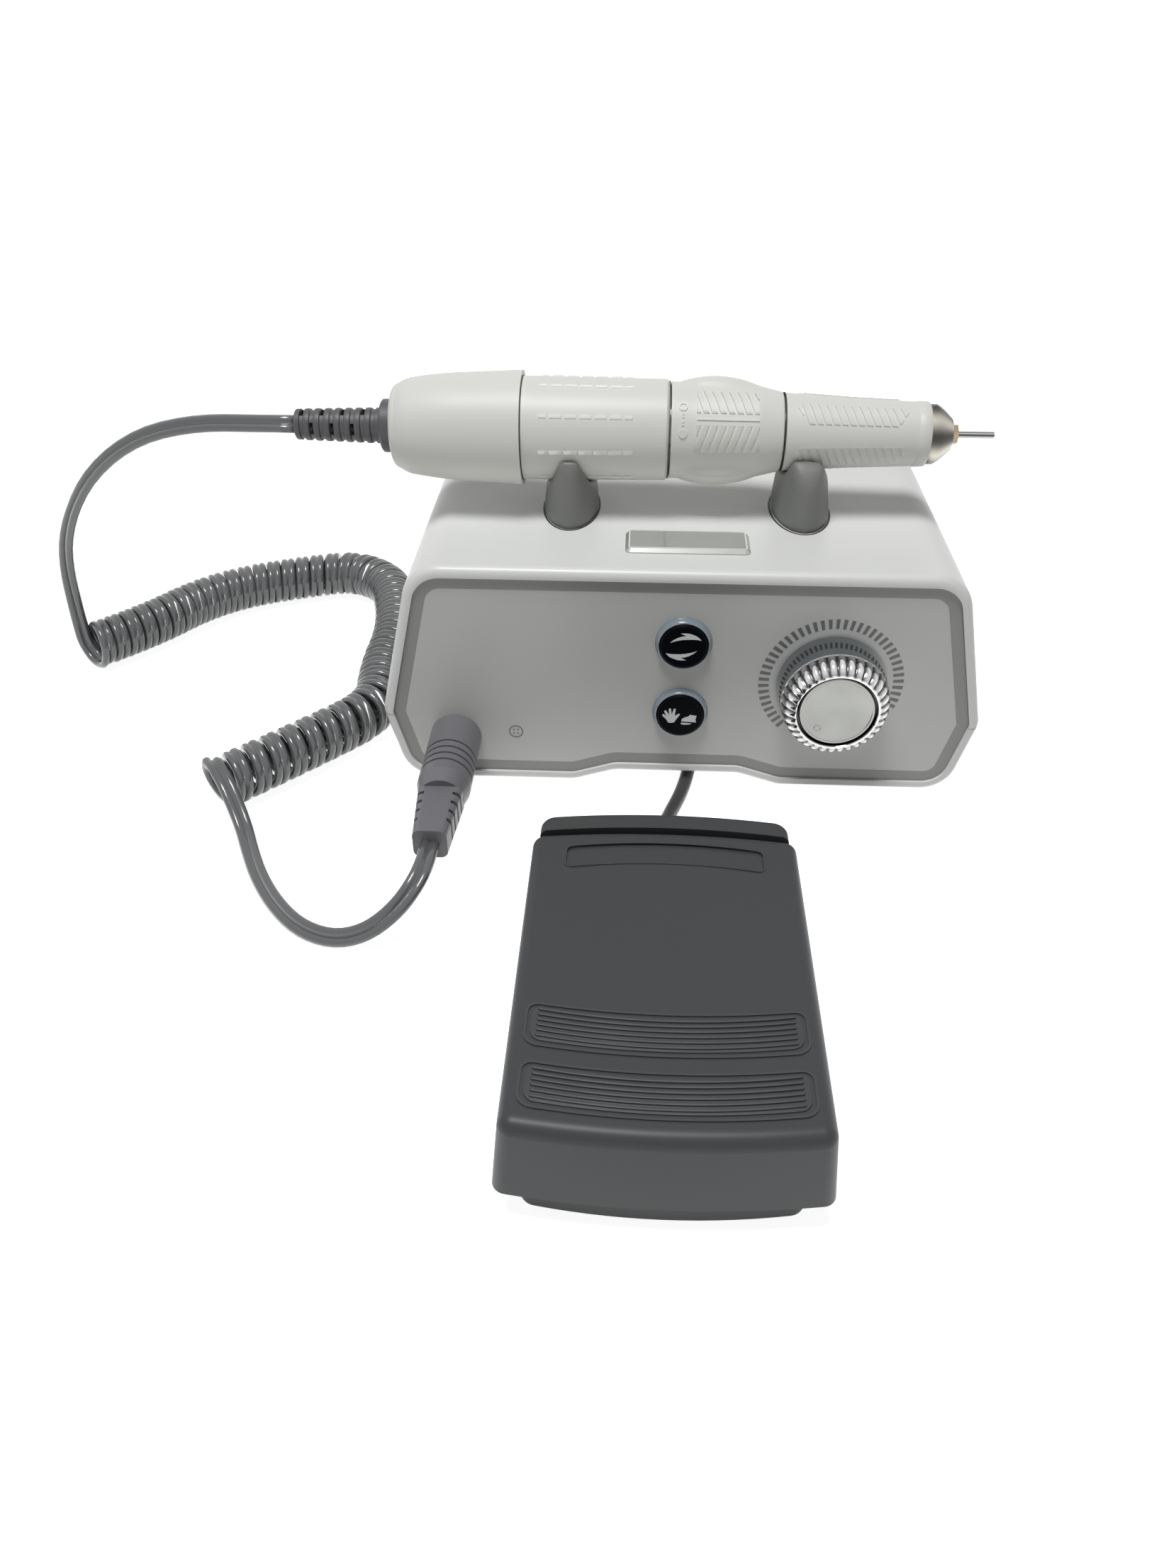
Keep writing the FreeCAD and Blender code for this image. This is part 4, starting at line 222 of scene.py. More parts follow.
def make_finishes():
    moulded, turned = moulded_group(), turned_group()
    panel = {"mottling": 0.08, "patch_scale": 30.0}
    look = bpy.context.scene.micromotor_look
    rows = {
        "shell_white": (moulded, look.shell_color, 0.34, 0.05, {"grain_scale": 2200.0, "mottling": 0.02}),
        "handpiece_white": (moulded, look.handpiece_color, 0.42, 0.04, {
            "grain_scale": 3500.0, "mottling": 0.02, "specular_ior_level": 0.4,
        }),
        "panel_grey": (moulded, look.panel_color, 0.36, 0.0, panel),
        "panel_band": (moulded, look.band_color, 0.36, 0.0, panel),
        "panel_tick": (moulded, look.tick_color, 0.36, 0.0),
        "panel_mark": (moulded, look.mark_color, 0.36, 0.0),
        # Painted shade: dark rings and discs in the gaps between pieces, round the rests and in the nose's holes.
        "painted_gap_shade": (moulded, (0.035, 0.036, 0.036), 0.6, 0.1),
        "back_grey": (moulded, (0.5, 0.51, 0.52), 0.5, 0.3),
        "rest_grey": (moulded, look.rest_color, 0.45, 0.1, {"mottling": 0.06, "specular_ior_level": 0.35}),
        "nameplate_silver": (moulded, (0.5, 0.51, 0.49), 0.2, 0.0, {"coat_weight": 0.8, "metallic": 0.25}),
        "foot_rubber": (moulded, (0.04, 0.04, 0.04), 0.75, 0.4),
        "screw_steel": (turned, (0.55, 0.55, 0.56), 0.35, 0.0, {"metallic": 1.0}),
        "button_black": (moulded, (0.003, 0.0035, 0.005), 0.35, 0.0, {"specular_ior_level": 0.04}),
        "light_ring_clear": (moulded, (0.22, 0.275, 0.31), 0.16, 0.0, {"coat_weight": 0.6, "mottling": 0.1}),
        "skirt_grey": (moulded, (0.34, 0.355, 0.375), 0.05, 0.0, {"metallic": 1.0, "smudges": 0.03}),
        "knob_chrome": (moulded, (0.66, 0.665, 0.66), 0.06, 0.0, {
            "metallic": 1.0, "smudges": 0.04, "mottling": 0.55, "patch_scale": 420.0,
        }),
        "cap_silver": (moulded, (0.29, 0.294, 0.282), 0.14, 0.0, {
            "metallic": 1.0, "mottling": 0.45, "patch_scale": 90.0,
        }),
        "part_black": (moulded, (0.03, 0.03, 0.033), 0.42, 0.2),
        "sleeve_grey": (moulded, look.sleeve_color, 0.45, 0.1, {"mottling": 0.08}),
        "part_steel": (turned, (0.3, 0.295, 0.29), 0.16, 0.03, {"metallic": 1.0}),
        "board_green": (moulded, (0.03, 0.18, 0.08), 0.35, 0.1),
        "core_steel": (moulded, (0.22, 0.22, 0.24), 0.5, 0.4, {"metallic": 0.7}),
        "winding_copper": (turned, (0.62, 0.28, 0.14), 0.35, 0.3, {"metallic": 0.9}),
        "fitting_grey": (moulded, look.fitting_color, 0.4, 0.08, {"mottling": 0.08}),
        "cord_grey": (moulded, look.cord_color, 0.2, 0.05, {"grain_scale": 900.0, "coat_weight": 0.6}),
        "cable_black": (moulded, (0.05, 0.05, 0.053), 0.4, 0.1),
        "nose_steel": (turned, (0.3, 0.283, 0.245), 0.3, 0.06, {"metallic": 1.0}),
        "bar_steel": (turned, (0.42, 0.415, 0.41), 0.12, 0.02, {"metallic": 1.0}),
        "nut_brass": (turned, (0.32, 0.25, 0.17), 0.3, 0.03, {"metallic": 1.0}),
        "magnet_dark": (moulded, (0.1, 0.1, 0.11), 0.5, 0.2, {"metallic": 0.8}),
        "brush_carbon": (moulded, (0.03, 0.03, 0.03), 0.7, 0.2),
        "commutator_copper": (turned, (0.7, 0.35, 0.2), 0.3, 0.1, {"metallic": 1.0}),
        "pedal_grey": (moulded, look.pedal_color, 0.42, 0.1, {
            "mottling": 0.12, "grain_scale": 1800.0, "dust": 0.7, "specular_ior_level": 0.35,
        }),
        "grip_rubber": (moulded, [1.25 * share for share in look.pedal_color], 0.45, 0.2, {
            "mottling": 0.25, "patch_scale": 60.0, "dust": 0.4, "specular_ior_level": 0.35,
        }),
        "icon_pale": (moulded, (0.8, 0.81, 0.81), 0.4, 0.0),
        # Near white under a full coat: a painted highlight on the housing's dashes and the lock ring's bars,
        # brighter than the enamel they stand on; a white rim on the nameplate.
        "white_and_painted_highlight": (moulded, (0.99, 0.99, 0.97), 0.15, 0.0, {"coat_weight": 1.0}),
        "base_grey": (moulded, look.base_color, 0.5, 0.15, {"mottling": 0.1, "grain_scale": 1800.0}),
    }
    for name, (group, color, roughness, bump, *more) in rows.items():
        FINISHES[name] = finish(name, group, color, roughness, bump, *more)
    # The knob's chrome is darkened by its painted shade; the nose and the bar by their painted reflection bands.
    for name, shade in (("knob_chrome", "open"), ("nose_steel", "painted_reflection"), ("bar_steel", "painted_reflection")):
        darken_by(FINISHES[name], shade)


def dress(piece, slot, finish_name=None):
    """Gives a new piece its material: the finish named, else the slot's."""
    piece.data.materials.clear()
    piece.data.materials.append(FINISHES[finish_name or slot])
    return piece


def fit(piece, body, slot, finish_name=None, replaces=()):
    """Dresses a new piece and sets it on its body, in place of the nodes named."""
    dress(piece, slot, finish_name)
    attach(piece, body)
    if replaces:
        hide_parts(*replaces)
    return piece


def dress_nodes():
    """Every CAD node that stays in sight takes its slot's finish, or a darker one of its own."""
    own = {"pedal_base": "base_grey"}
    for row in frame["record"]["subparts"]:
        for place in NODES[row["node"]].material_slots:
            place.material = FINISHES[own.get(row["node"], row["material_slot"])]


# Modelling by hand

def let_go():
    if bpy.context.object and bpy.context.object.mode != "OBJECT":
        bpy.ops.object.mode_set(mode="OBJECT")
    bpy.ops.object.select_all(action="DESELECT")


def edit():
    bpy.ops.object.mode_set(mode="EDIT")
    bpy.ops.mesh.select_mode(type="VERT")


def select_all():
    bpy.ops.mesh.select_all(action="SELECT")


def smooth_by(degrees):
    bpy.ops.object.shade_smooth_by_angle(angle=math.radians(degrees))


def put_in(name, data):
    """A new object in the scene that holds this data."""
    piece = bpy.data.objects.new(name, data)
    bpy.context.scene.collection.objects.link(piece)
    return piece


def take(piece):
    """Selects this piece alone and makes it the active one."""
    let_go()
    bpy.context.view_layer.objects.active = piece
    piece.select_set(True)


def blank(name):
    """A small new plane, in edit mode."""
    let_go()
    bpy.ops.mesh.primitive_plane_add(size=MM)
    piece = bpy.context.object
    piece.name = piece.data.name = name
    edit()
    return piece


def copy_of(node, name):
    """A copy of a CAD node, its loose triangles merged."""
    piece = put_in(name, NODES[node].data.copy())
    take(piece)
    edit()
    select_all()
    bpy.ops.mesh.remove_doubles(threshold=0.005 * MM)
    bpy.ops.object.mode_set(mode="OBJECT")
    return piece


def modify(piece, kind, **settings):
    """Adds a modifier with these settings to the active piece and applies it."""
    modifier = piece.modifiers.new(kind, kind)
    for key, value in settings.items():
        setattr(modifier, key, value)
    bpy.ops.object.modifier_apply(modifier=modifier.name)


def close_up(piece, smooth=30):
    """Merges doubles, turns all faces outwards, leaves edit mode and smooths the gentle edges."""
    select_all()
    bpy.ops.mesh.remove_doubles(threshold=0.002 * MM)
    bpy.ops.mesh.normals_make_consistent(inside=False)
    bpy.ops.object.mode_set(mode="OBJECT")
    smooth_by(smooth)
    return piece


def chain(name, points, closed=False):
    """A line of points, each pushed out from the one before; closed, it becomes one face."""
    piece = blank(name)
    bpy.ops.mesh.merge(type="CENTER")
    bpy.ops.transform.translate(value=points[0])
    for a, b in zip(points, points[1:]):
        bpy.ops.mesh.extrude_vertices_move(TRANSFORM_OT_translate={"value": b - a})
    if closed:
        select_all()
        bpy.ops.mesh.edge_face_add()
    return piece


def lathe(name, profile, base, way, steps=64, smooth=30):
    """A turned piece: rows of the profile are millimetres along way from base, and radius."""
    side = way.orthogonal().normalized()
    points = [base + way * (a * MM) + side * (max(r, 0.0) * MM) for a, r in profile]
    piece = chain(name, points)
    select_all()
    bpy.ops.mesh.spin(steps=steps, angle=2 * math.pi, center=base, axis=way)
    return close_up(piece, smooth)


def turned(name, profile, steps):
    """A piece turned about the handpiece's axis, its profile from the middle of the box."""
    return lathe(name, profile, along(0), RIGHT, steps, 40)


def ring_plate(name, centre, way, inner, outer, high, base=0, steps=40):
    """A flat ring or disc, its sizes in millimetres."""
    profile = [(base, inner), (high, inner), (high, outer), (base, outer), (base, inner)]
    return lathe(name, profile, centre, way, steps)


def raise_face(way, thick, bevel=0.0):
    """Pushes the selected face out and rounds its new edge."""
    bpy.ops.mesh.extrude_region_move(TRANSFORM_OT_translate={"value": way * thick})
    if bevel:
        bpy.ops.mesh.bevel(offset=bevel, segments=2, affect="EDGES")


def printed():
    """Makes the selected face a thin print on the panel."""
    bpy.ops.transform.translate(value=OUT * PRINT_GAP)
    raise_face(OUT, PRINT_THICK)


def leave_band(wide):
    """Makes the selected face a band along its edge, and selects it."""
    bpy.ops.mesh.inset(thickness=wide)
    bpy.ops.mesh.delete(type="ONLY_FACE")
    select_all()


def round_corners(piece, outline, rounds, segments):
    """Rounds gives radius and the corners to round, by their number; then all is selected."""
    for radius, numbers in rounds:
        bpy.ops.mesh.select_all(action="DESELECT")
        shape = bmesh.from_edit_mesh(piece.data)
        for v in shape.verts:
            if any((v.co - outline[n]).length < 0.001 * MM for n in numbers):
                v.select_set(True)
        shape.select_flush(True)
        bmesh.update_edit_mesh(piece.data)
        bpy.ops.mesh.bevel(offset=radius, segments=segments, affect="VERTICES")
    select_all()


def plate(name, outline, way, thick, bevel=0.0, rounds=()):
    """A flat piece on this outline."""
    piece = chain(name, outline, closed=True)
    round_corners(piece, outline, rounds, 5)
    raise_face(way, thick, bevel)
    return close_up(piece)


def frame_of(name, outline, wide, high, rounds=()):
    """A thin line along this outline, raised upwards."""
    piece = chain(name, outline, closed=True)
    round_corners(piece, outline, rounds, 6)
    leave_band(wide)
    raise_face(UP, high)
    return close_up(piece)


def joined(name, pieces):
    let_go()
    for piece in pieces:
        piece.select_set(True)
    bpy.context.view_layer.objects.active = pieces[0]
    bpy.ops.object.join()
    pieces[0].name = pieces[0].data.name = name
    return pieces[0]


# Relief on the handpiece

def skin(node, x, degrees, lift=0.0):
    """A point on a barrel's skin: x in millimetres from the middle of the box, the angle up from the front."""
    angle = math.radians(degrees)
    out = OUT * math.cos(angle) + UP * math.sin(angle)
    outside = along(x) + out * (40 * MM)
    hit, place, _, _ = NODES[node].ray_cast(outside, -out)
    if not hit:
        raise ValueError(f"{node} has no skin at {x}")
    return place + out * lift


def standing_out(node, x, degrees):
    """A point on a barrel's skin, and the way out from the axis."""
    place = skin(node, x, degrees)
    return place, (place - along(x)).normalized()


def relief(name, node, strips, high, rim):
    """Raised pads on a barrel; a strip is rows of degrees, left x and right x."""
    piece = blank(name)
    bpy.ops.mesh.delete(type="VERT")
    sunk = 0.03 * MM
    for rows in strips:
        spans = len(rows) - 1
        bpy.ops.mesh.primitive_grid_add(size=1, x_subdivisions=2, y_subdivisions=2 * spans)
        for v in bmesh.from_edit_mesh(piece.data).verts:
            if v.select:
                far = (v.co.y + 0.5) * spans
                k = min(int(far), spans - 1)
                degrees, left, right = Vector(rows[k]).lerp(Vector(rows[k + 1]), far - k)
                v.co = skin(node, left + (right - left) * (v.co.x + 0.5), degrees, -sunk)
        bmesh.update_edit_mesh(piece.data)
        bpy.ops.mesh.inset(thickness=rim)
        bpy.ops.transform.shrink_fatten(value=high + sunk)
    bpy.ops.object.mode_set(mode="OBJECT")
    smooth_by(25)
    return piece


def slanted(near, far, x, wide, slant, left, right):
    """Rows of a slanted rib between two angles, cut off where left and right say the field ends."""
    rows, count, least = [], 8, 0.2
    for share in (k / count for k in range(count + 1)):
        degrees = near + (far - near) * share
        a = max(x - slant * share, left(degrees))
        b = min(x + wide - slant * share, right(degrees))
        if b - a > least:
            rows.append((degrees, a, b))
    return rows if near < far else rows[::-1]


# Cords

REAR_ROUTE = [
    (-109.0, 43, 93.3), (-122, 43, 93.3), (-141, 44.3, 92.8), (-161, 47.5, 87), (-180, 52.5, 73),
    (-193.5, 58, 54.5), (-200.5, 63.5, 38),
]
COIL_ROUTE = [
    (-198, 62), (-184, 76.5), (-172, 96.5), (-158, 108.5), (-138.5, 117), (-120, 123), (-104.5, 112.5),
    (-98.5, 93), (-95.5, 72), (-96, 50), (-93, 27), (-108, 9), (-131.5, -15.5),
]
FRONT_ROUTE = [
    (-120.6, -29.2, 5.0), (-117, -37.3, 3.1), (-111.6, -48, 2.4), (-104, -59, 2.3), (-95.5, -67.3, 2.3),
    (-86, -70.9, 2.5), (-77.5, -70.6, 5.2), (-70.8, -67.2, 9.6), (-66.6, -63.2, 14.0), (-64.3, -56.6, 16.7),
    (-64.3, -47.9, 16.7),
]
COIL_TURNS = 45.847
COIL_OPENING = 0.27
COIL_LIFT = 0.9
PER_TURN = 12


def spline_points(points, fineness):
    """Points along the smooth line that has these control points."""
    holder = put_in("route", smooth_curve("route", points, fineness))
    seen = holder.evaluated_get(bpy.context.evaluated_depsgraph_get())
    mesh = bpy.data.meshes.new_from_object(seen)
    found = [v.co.copy() for v in mesh.vertices]
    bpy.data.objects.remove(holder)
    bpy.data.meshes.remove(mesh)
    return found


def smooth_curve(name, points, fineness):
    curve = bpy.data.curves.new(name, "CURVE")
    curve.dimensions = "3D"
    curve.resolution_u = fineness
    spline = curve.splines.new("NURBS")
    spline.points.add(len(points) - 1)
    for at, point in zip(spline.points, points):
        at.co = (*point, 1)
    spline.order_u = 3
    spline.use_endpoint_u = True
    return curve


def cut_in(per_turn):
    """How far the smooth line stays inside its control points on a circle, as a share."""
    return 0.75 + 0.25 * math.cos(2 * math.pi / per_turn)


def window_mean(values, i, reach):
    part = values[max(0, i - reach):i + reach + 1]
    return sum(part) / len(part)


def coil_turns(radius, width):
    """Control points of the curly stretch, and for each the direction of the coil's own axis."""
    line = spline_points([spot(x, y, 0) for x, y in COIL_ROUTE], 40)
    ways = [(b - a).normalized() for a, b in zip(line, line[1:])]
    ways.append(ways[-1])
    steps = [0.0] + [(b - a).length for a, b in zip(line, line[1:])]
    total = sum(steps)
    run, pitches, reach = 0.0, [], 12
    for i, step in enumerate(steps):
        run += step
        near, far = ways[max(0, i - reach)], ways[min(len(ways) - 1, i + reach)]
        bend = near.angle(far) / (2 * reach * total / len(line))
        pitches.append(max(width * (1 + COIL_OPENING * run / total), width / (1 - radius * bend)))
    pitches = [window_mean(pitches, i, 20) for i in range(len(pitches))]
    phases = [0.0]
    for step, pitch in zip(steps[1:], pitches[1:]):
        phases.append(phases[-1] + step / pitch)
    scale = COIL_TURNS / phases[-1]
    count = math.ceil(COIL_TURNS * PER_TURN)
    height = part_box("curly_cord")[1].z / 2 + COIL_LIFT * MM / 2
    points, axes, i = [], [], 0
    for k in range(count + 1):
        turn = COIL_TURNS * k / count
        while i < len(phases) - 2 and phases[i + 1] * scale < turn:
            i += 1
        share = (turn / scale - phases[i]) / (phases[i + 1] - phases[i])
        place = line[i].lerp(line[i + 1], share)
        way = ways[i]
        left = Vector((-way.y, way.x, 0))
        angle = 2 * math.pi * turn
        out = left * math.cos(angle) - UP * math.sin(angle)
        points.append(place + UP * height + out * (radius / cut_in(PER_TURN)))
        axes.append(way)
    return points, axes


# The free stretches of the flat cord lie square to this direction
FACING = Vector((0, 0.807, -0.59))


def twin_section(wire):
    """Outline of two round wires side by side, first number across the pair."""
    apart, radius, steps = wire * 0.48, wire * 0.5, 7
    corner = math.acos(-apart / radius)
    found = []
    for side in (1, -1):
        for k in range(steps + 1):
            angle = -corner + 2 * corner * k / steps
            found.append((side * (apart + radius * math.cos(angle)), side * radius * math.sin(angle)))
    return found


def aligned(way, like):
    """The same line, pointing the way the other one does."""
    return -way if way.dot(like) < 0 else way


def cord_ways(path, guides, first, last, axes):
    """For each point of the path, its direction and the way its two wires lie side by side."""
    found, before = [], None
    for i in range(len(path)):
        way = (path[min(i + 1, len(path) - 1)] - path[max(i - 1, 0)]).normalized()
        at = i * guides / len(path)
        inside = min(at - first, last - at)
        flat = way.cross(FACING).normalized()
        before = flat if before is None else before
        share = min(1.0, max(0.0, inside / PER_TURN + 0.5))
        coil_axis = axes[min(max(int(at - first), 0), len(axes) - 1)]
        wide = aligned(flat, before).lerp(aligned(coil_axis, before), share)
        wide = aligned((wide - way * wide.dot(way)).normalized(), before)
        before = before.lerp(wide, 0.4).normalized()
        found.append((way, (before - way * before.dot(way)).normalized()))
    return found


def swept(name, path, ways, section):
    """A closed tube of this section along the path."""
    verts, faces, sides = [], [], len(section)
    for point, (way, wide) in zip(path, ways):
        verts += [point + wide * a + way.cross(wide) * b for a, b in section]
    for i in range(len(path) - 1):
        for k in range(sides):
            a, b = i * sides + k, i * sides + (k + 1) % sides
            faces.append((a, b, b + sides, a + sides))
    faces.append(tuple(range(sides))[::-1])
    faces.append(tuple(range(len(verts) - sides, len(verts))))
    mesh = bpy.data.meshes.new(name)
    mesh.from_pydata(verts, [], faces)
    mesh.shade_smooth()
    return put_in(name, mesh)


def handpiece_cord(sizes):
    wire = sizes.wire_diameter
    turns, axes = coil_turns(sizes.coil_diameter / 2 - wire / 2, wire * 2 + 0.1 * MM)
    rear = [spot(*p) for p in REAR_ROUTE] + [turns[0] + UP * 0.01, turns[0] + UP * 0.004]
    leave = (turns[-1] - turns[-2]).normalized()
    guides = rear + turns + [turns[-1] + leave * 0.005] + [spot(*p) for p in FRONT_ROUTE]
    path = spline_points(guides, 4)
    ways = cord_ways(path, len(guides), len(rear), len(rear) + len(turns) - 1, axes)
    piece = swept("handpiece_cord", path, ways, twin_section(wire))
    dress(piece, "cord_grey")
    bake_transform(piece)
    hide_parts("rear_cord", "curly_cord", "front_cord")


CABLE_ROUTE = [
    (-4.6, -41, 9), (-4.6, -33, 9), (-4.1, -25, 4.4), (-2.0, -15.5, 2.3), (2.0, -3.5, 2.1), (4.6, 10, 2.1),
    (6.2, 32, 2.1), (6.6, 62, 2.1), (5.6, 92, 2.1),
]
# The put-away coil, in millimetres
LOOP_CENTRE = (-27.4, 170)
LOOP_INNER, LOOP_STEP, LOOPS, LAYER = 14.0, 4.6, 4, 4.7
JACK_END = (-60, 144.8, 22)


def loop_points(per_turn):
    """Control points of the put-away coil: inwards on the bench, then outwards on top."""
    found = []
    for k in range(round((LOOPS * 2 + 0.25) * per_turn) + 1):
        turn = k / per_turn
        angle = 2 * math.pi * turn
        share = min(1.0, max(0.0, (turn - LOOPS) * 2))
        radius = LOOP_INNER
        if share in (0, 1):
            radius += LOOP_STEP * max(LOOPS - turn, turn - LOOPS - 0.5, 0)
        else:
            radius -= LOOP_STEP / (2 * math.pi) * math.sin(math.pi * share)
        reach = radius / cut_in(per_turn)
        x, y = LOOP_CENTRE[0] + reach * math.cos(angle), LOOP_CENTRE[1] + reach * math.sin(angle)
        found.append(spot(x, y, 2.1 + LAYER * (3 * share ** 2 - 2 * share ** 3)))
    return found


def pedal_cable(sizes):
    loops = loop_points(16)
    start = loops[0] - Vector((0, 0.004, 0))
    way = (loops[-1] - loops[-2]).normalized()
    stop = loops[-1] + way * 0.004
    end = spot(*JACK_END)
    straight = stop + way * 0.014
    tail = [stop, straight, straight + Vector((-14.5, -9.5, 0.9)) * MM]
    tail.append(Vector((end.x - 4.6 * MM, end.y + 34 * MM, 11 * MM)))
    tail.append(Vector((end.x - 3.6 * MM, end.y + 19.5 * MM, 17.8 * MM)))
    tail += [end + Vector((0, 0.0075, 0)), end]
    guides = [spot(*p) for p in CABLE_ROUTE] + [start - Vector((0, 0.03, 0)), start] + loops + tail
    curve = smooth_curve("pedal_lead", guides, 4)
    curve.bevel_depth = sizes.cable_diameter / 2
    curve.bevel_resolution = 4
    curve.use_fill_caps = True
    piece = fit(put_in("pedal_lead", curve), "unit", "cable_black")
    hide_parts("pedal_cable", "pedal_cable_coil", "pedal_cable_end")


# Box

KNOB = Vector((middle_of("speed_knob").x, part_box("front_panel")[0].y, middle_of("speed_knob").z))
PRINT_GAP, PRINT_THICK = 0.01 * MM, 0.04 * MM


def outer_edge(node, way):
    """The outline of the node's outermost flat face on this side, as points in order."""
    piece = copy_of(node, "edge")
    edit()
    shape = bmesh.from_edit_mesh(piece.data)
    far = max(v.co.dot(way) for v in shape.verts) - MM / 10
    flat = {f for f in shape.faces if f.normal.dot(way) > 0.99 and f.calc_center_median().dot(way) > far}
    edges = {e for f in flat for e in f.edges if sum(g in flat for g in e.link_faces) == 1}
    start = min((v for e in edges for v in e.verts), key=lambda v: v.co.z)
    outline, here, came = [start.co.copy()], start, None
    while True:
        came = next(e for e in here.link_edges if e in edges and e is not came)
        here = came.other_vert(here)
        if here is start:
            break
        outline.append(here.co.copy())
    bpy.ops.object.mode_set(mode="OBJECT")
    bpy.data.objects.remove(piece)
    return outline


def panel_band(wide):
    """The darker border printed along the panel's edge."""
    piece = chain("panel_band", outer_edge("front_panel", OUT), closed=True)
    select_all()
    leave_band(wide)
    printed()
    fit(close_up(piece), "unit", "panel_grey", "panel_band")


def dial_ticks(count, start, step, inner, outer):
    """Wedge-shaped marks printed round the knob, clockwise from start, in degrees from the right."""
    way = Vector((math.cos(math.radians(start)), 0, math.sin(math.radians(start))))
    side = way.cross(OUT) * MM
    near, far = KNOB + way * inner, KNOB + way * outer
    outline = [near - side * 0.42, near + side * 0.42, far + side * 0.54, far - side * 0.54]
    piece = chain("dial_ticks", outline, closed=True)
    select_all()
    printed()
    select_all()
    for _ in range(count - 1):
        bpy.ops.mesh.duplicate_move()
        bpy.ops.transform.rotate(value=-math.radians(step), orient_axis="Y", center_override=KNOB)
    fit(close_up(piece), "unit", "panel_grey", "panel_tick")


def socket_mark():
    """A plain sign beside the socket: a ring with the four contacts of a plug."""
    plug = middle_of("motor_plug")
    centre = Vector((plug.x + 17.5 * MM, KNOB.y - 0.02 * MM, plug.z + 2 * MM))
    marks = [ring_plate("mark", centre, OUT, 1.7, 2.1, 0.04)]
    for k in range(4):
        turn = math.pi / 4 + k * math.pi / 2
        dot = centre + Vector((math.cos(turn), 0, math.sin(turn))) * 0.85 * MM
        marks.append(ring_plate("mark", dot, OUT, 0, 0.28, 0.04, steps=12))
    fit(joined("socket_mark", marks), "unit", "panel_grey", "panel_mark")


def nameplate_detail():
    """A raised pale edge round the bare nameplate."""
    low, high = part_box("nameplate")
    edge = 0.9 * MM
    left, right, near, far = low.x + edge, high.x - edge, low.y + edge, high.y - edge
    outline = [Vector((x, y, high.z)) for x, y in ((left, near), (right, near), (right, far), (left, far))]
    rim = frame_of("nameplate_rim", outline, 0.35 * MM, 0.15 * MM, [(edge, range(4))])
    fit(rim, "unit", "nameplate_silver", "white_and_painted_highlight")


def rest_gap(node, wide):
    """Painted shade: the dark line in the gap where a rest stands in the box's top."""
    low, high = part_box(node)
    middle, half = (low + high) / 2, (high - low) / 2
    outline, count = [], 64
    for k in range(count):
        turn = 2 * math.pi * k / count
        x, y = (half.x + wide) * math.cos(turn), (half.y + wide) * math.sin(turn)
        outline.append(Vector((middle.x + x, middle.y + y, low.z)))
    fit(frame_of(f"{node}_gap", outline, wide * 1.6, 0.05 * MM), "unit", "rest_grey", "painted_gap_shade")


def soft_copy(node, name, voxel, strength, chosen=None):
    """A node's shape with its edges rounded over, all of them or where chosen gives a share for a point."""
    piece = copy_of(node, name)
    modify(piece, "REMESH", mode="VOXEL", voxel_size=voxel)
    if chosen:
        group = piece.vertex_groups.new(name="soft")
        for v in piece.data.vertices:
            share = chosen(v.co)
            if share > 0:
                group.add([v.index], share, "REPLACE")
    modify(piece, "SMOOTH", factor=0.7, iterations=strength, vertex_group="soft" if chosen else "")
    piece.vertex_groups.clear()
    return piece


def soft_rest(node, voxel, strength):
    """A rest with all its edges rounded over."""
    piece = soft_copy(node, f"{node}_soft", voxel, strength)
    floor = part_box(node)[0].z
    for v in piece.data.vertices:
        if v.co.z < floor + voxel:
            v.co.z = min(v.co.z, floor)
    bpy.ops.object.shade_smooth()
    fit(piece, "unit", "rest_grey", replaces=[node])


# Controls

def ahead(y):
    """Millimetres from the panel's face to a place's Y."""
    return (KNOB.y - y) / MM


def knob_skirt(start, bore):
    """Smooth skirt behind the bezel, which starts where it ends."""
    piece = lathe("dial_skirt", [
        (0.3, bore), (start, bore), (start, 14.2), (start - 0.3, 14.55), (start - 1.0, 14.7), (1.0, 15.2),
        (0.6, 15.1), (0.3, 14.8), (0.3, bore),
    ], KNOB, OUT, 128)
    fit(piece, "speed_dial", "skirt_grey", replaces=["knob_skirt"])


def scallop(piece, scallops, start):
    """Presses pillow-shaped scallops into the bezel, and keeps a painted shade on its points: dark in the valleys
    between the pillows and towards the cap, near black in the groove round the cap and at the bezel's back.
    """
    shade = piece.data.attributes.new("open", "FLOAT", "POINT")
    edge = 11.3
    for v in piece.data.vertices:
        arm = v.co - KNOB
        arm.y = 0
        radius = arm.length / MM
        # Painted shade: near black in the groove round the cap and at the bezel's back.
        value = 0.05 if 10.6 < radius < 10.9 or ahead(v.co.y) < start + 0.2 else 1.0
        if radius > edge:
            phase = math.atan2(arm.z, arm.x) * scallops / (2 * math.pi)
            crest = abs(math.sin(math.pi * phase)) ** 0.6
            deep = min(1.0, (radius - edge) / 1.5) * 0.9
            v.co = v.co - (arm.normalized() * 0.8 + OUT * 0.5) * (deep * (1 - crest) * MM)
            # Painted shade and dark reflection: darker between the pillows and towards the cap, lighter on the
            # crests.
            value = min(1.0, 0.06 + 1.4 * crest ** 3) * (0.35 + 0.65 * min(1.0, (radius - edge) / 1.6))
        shade.data[v.index].value = value


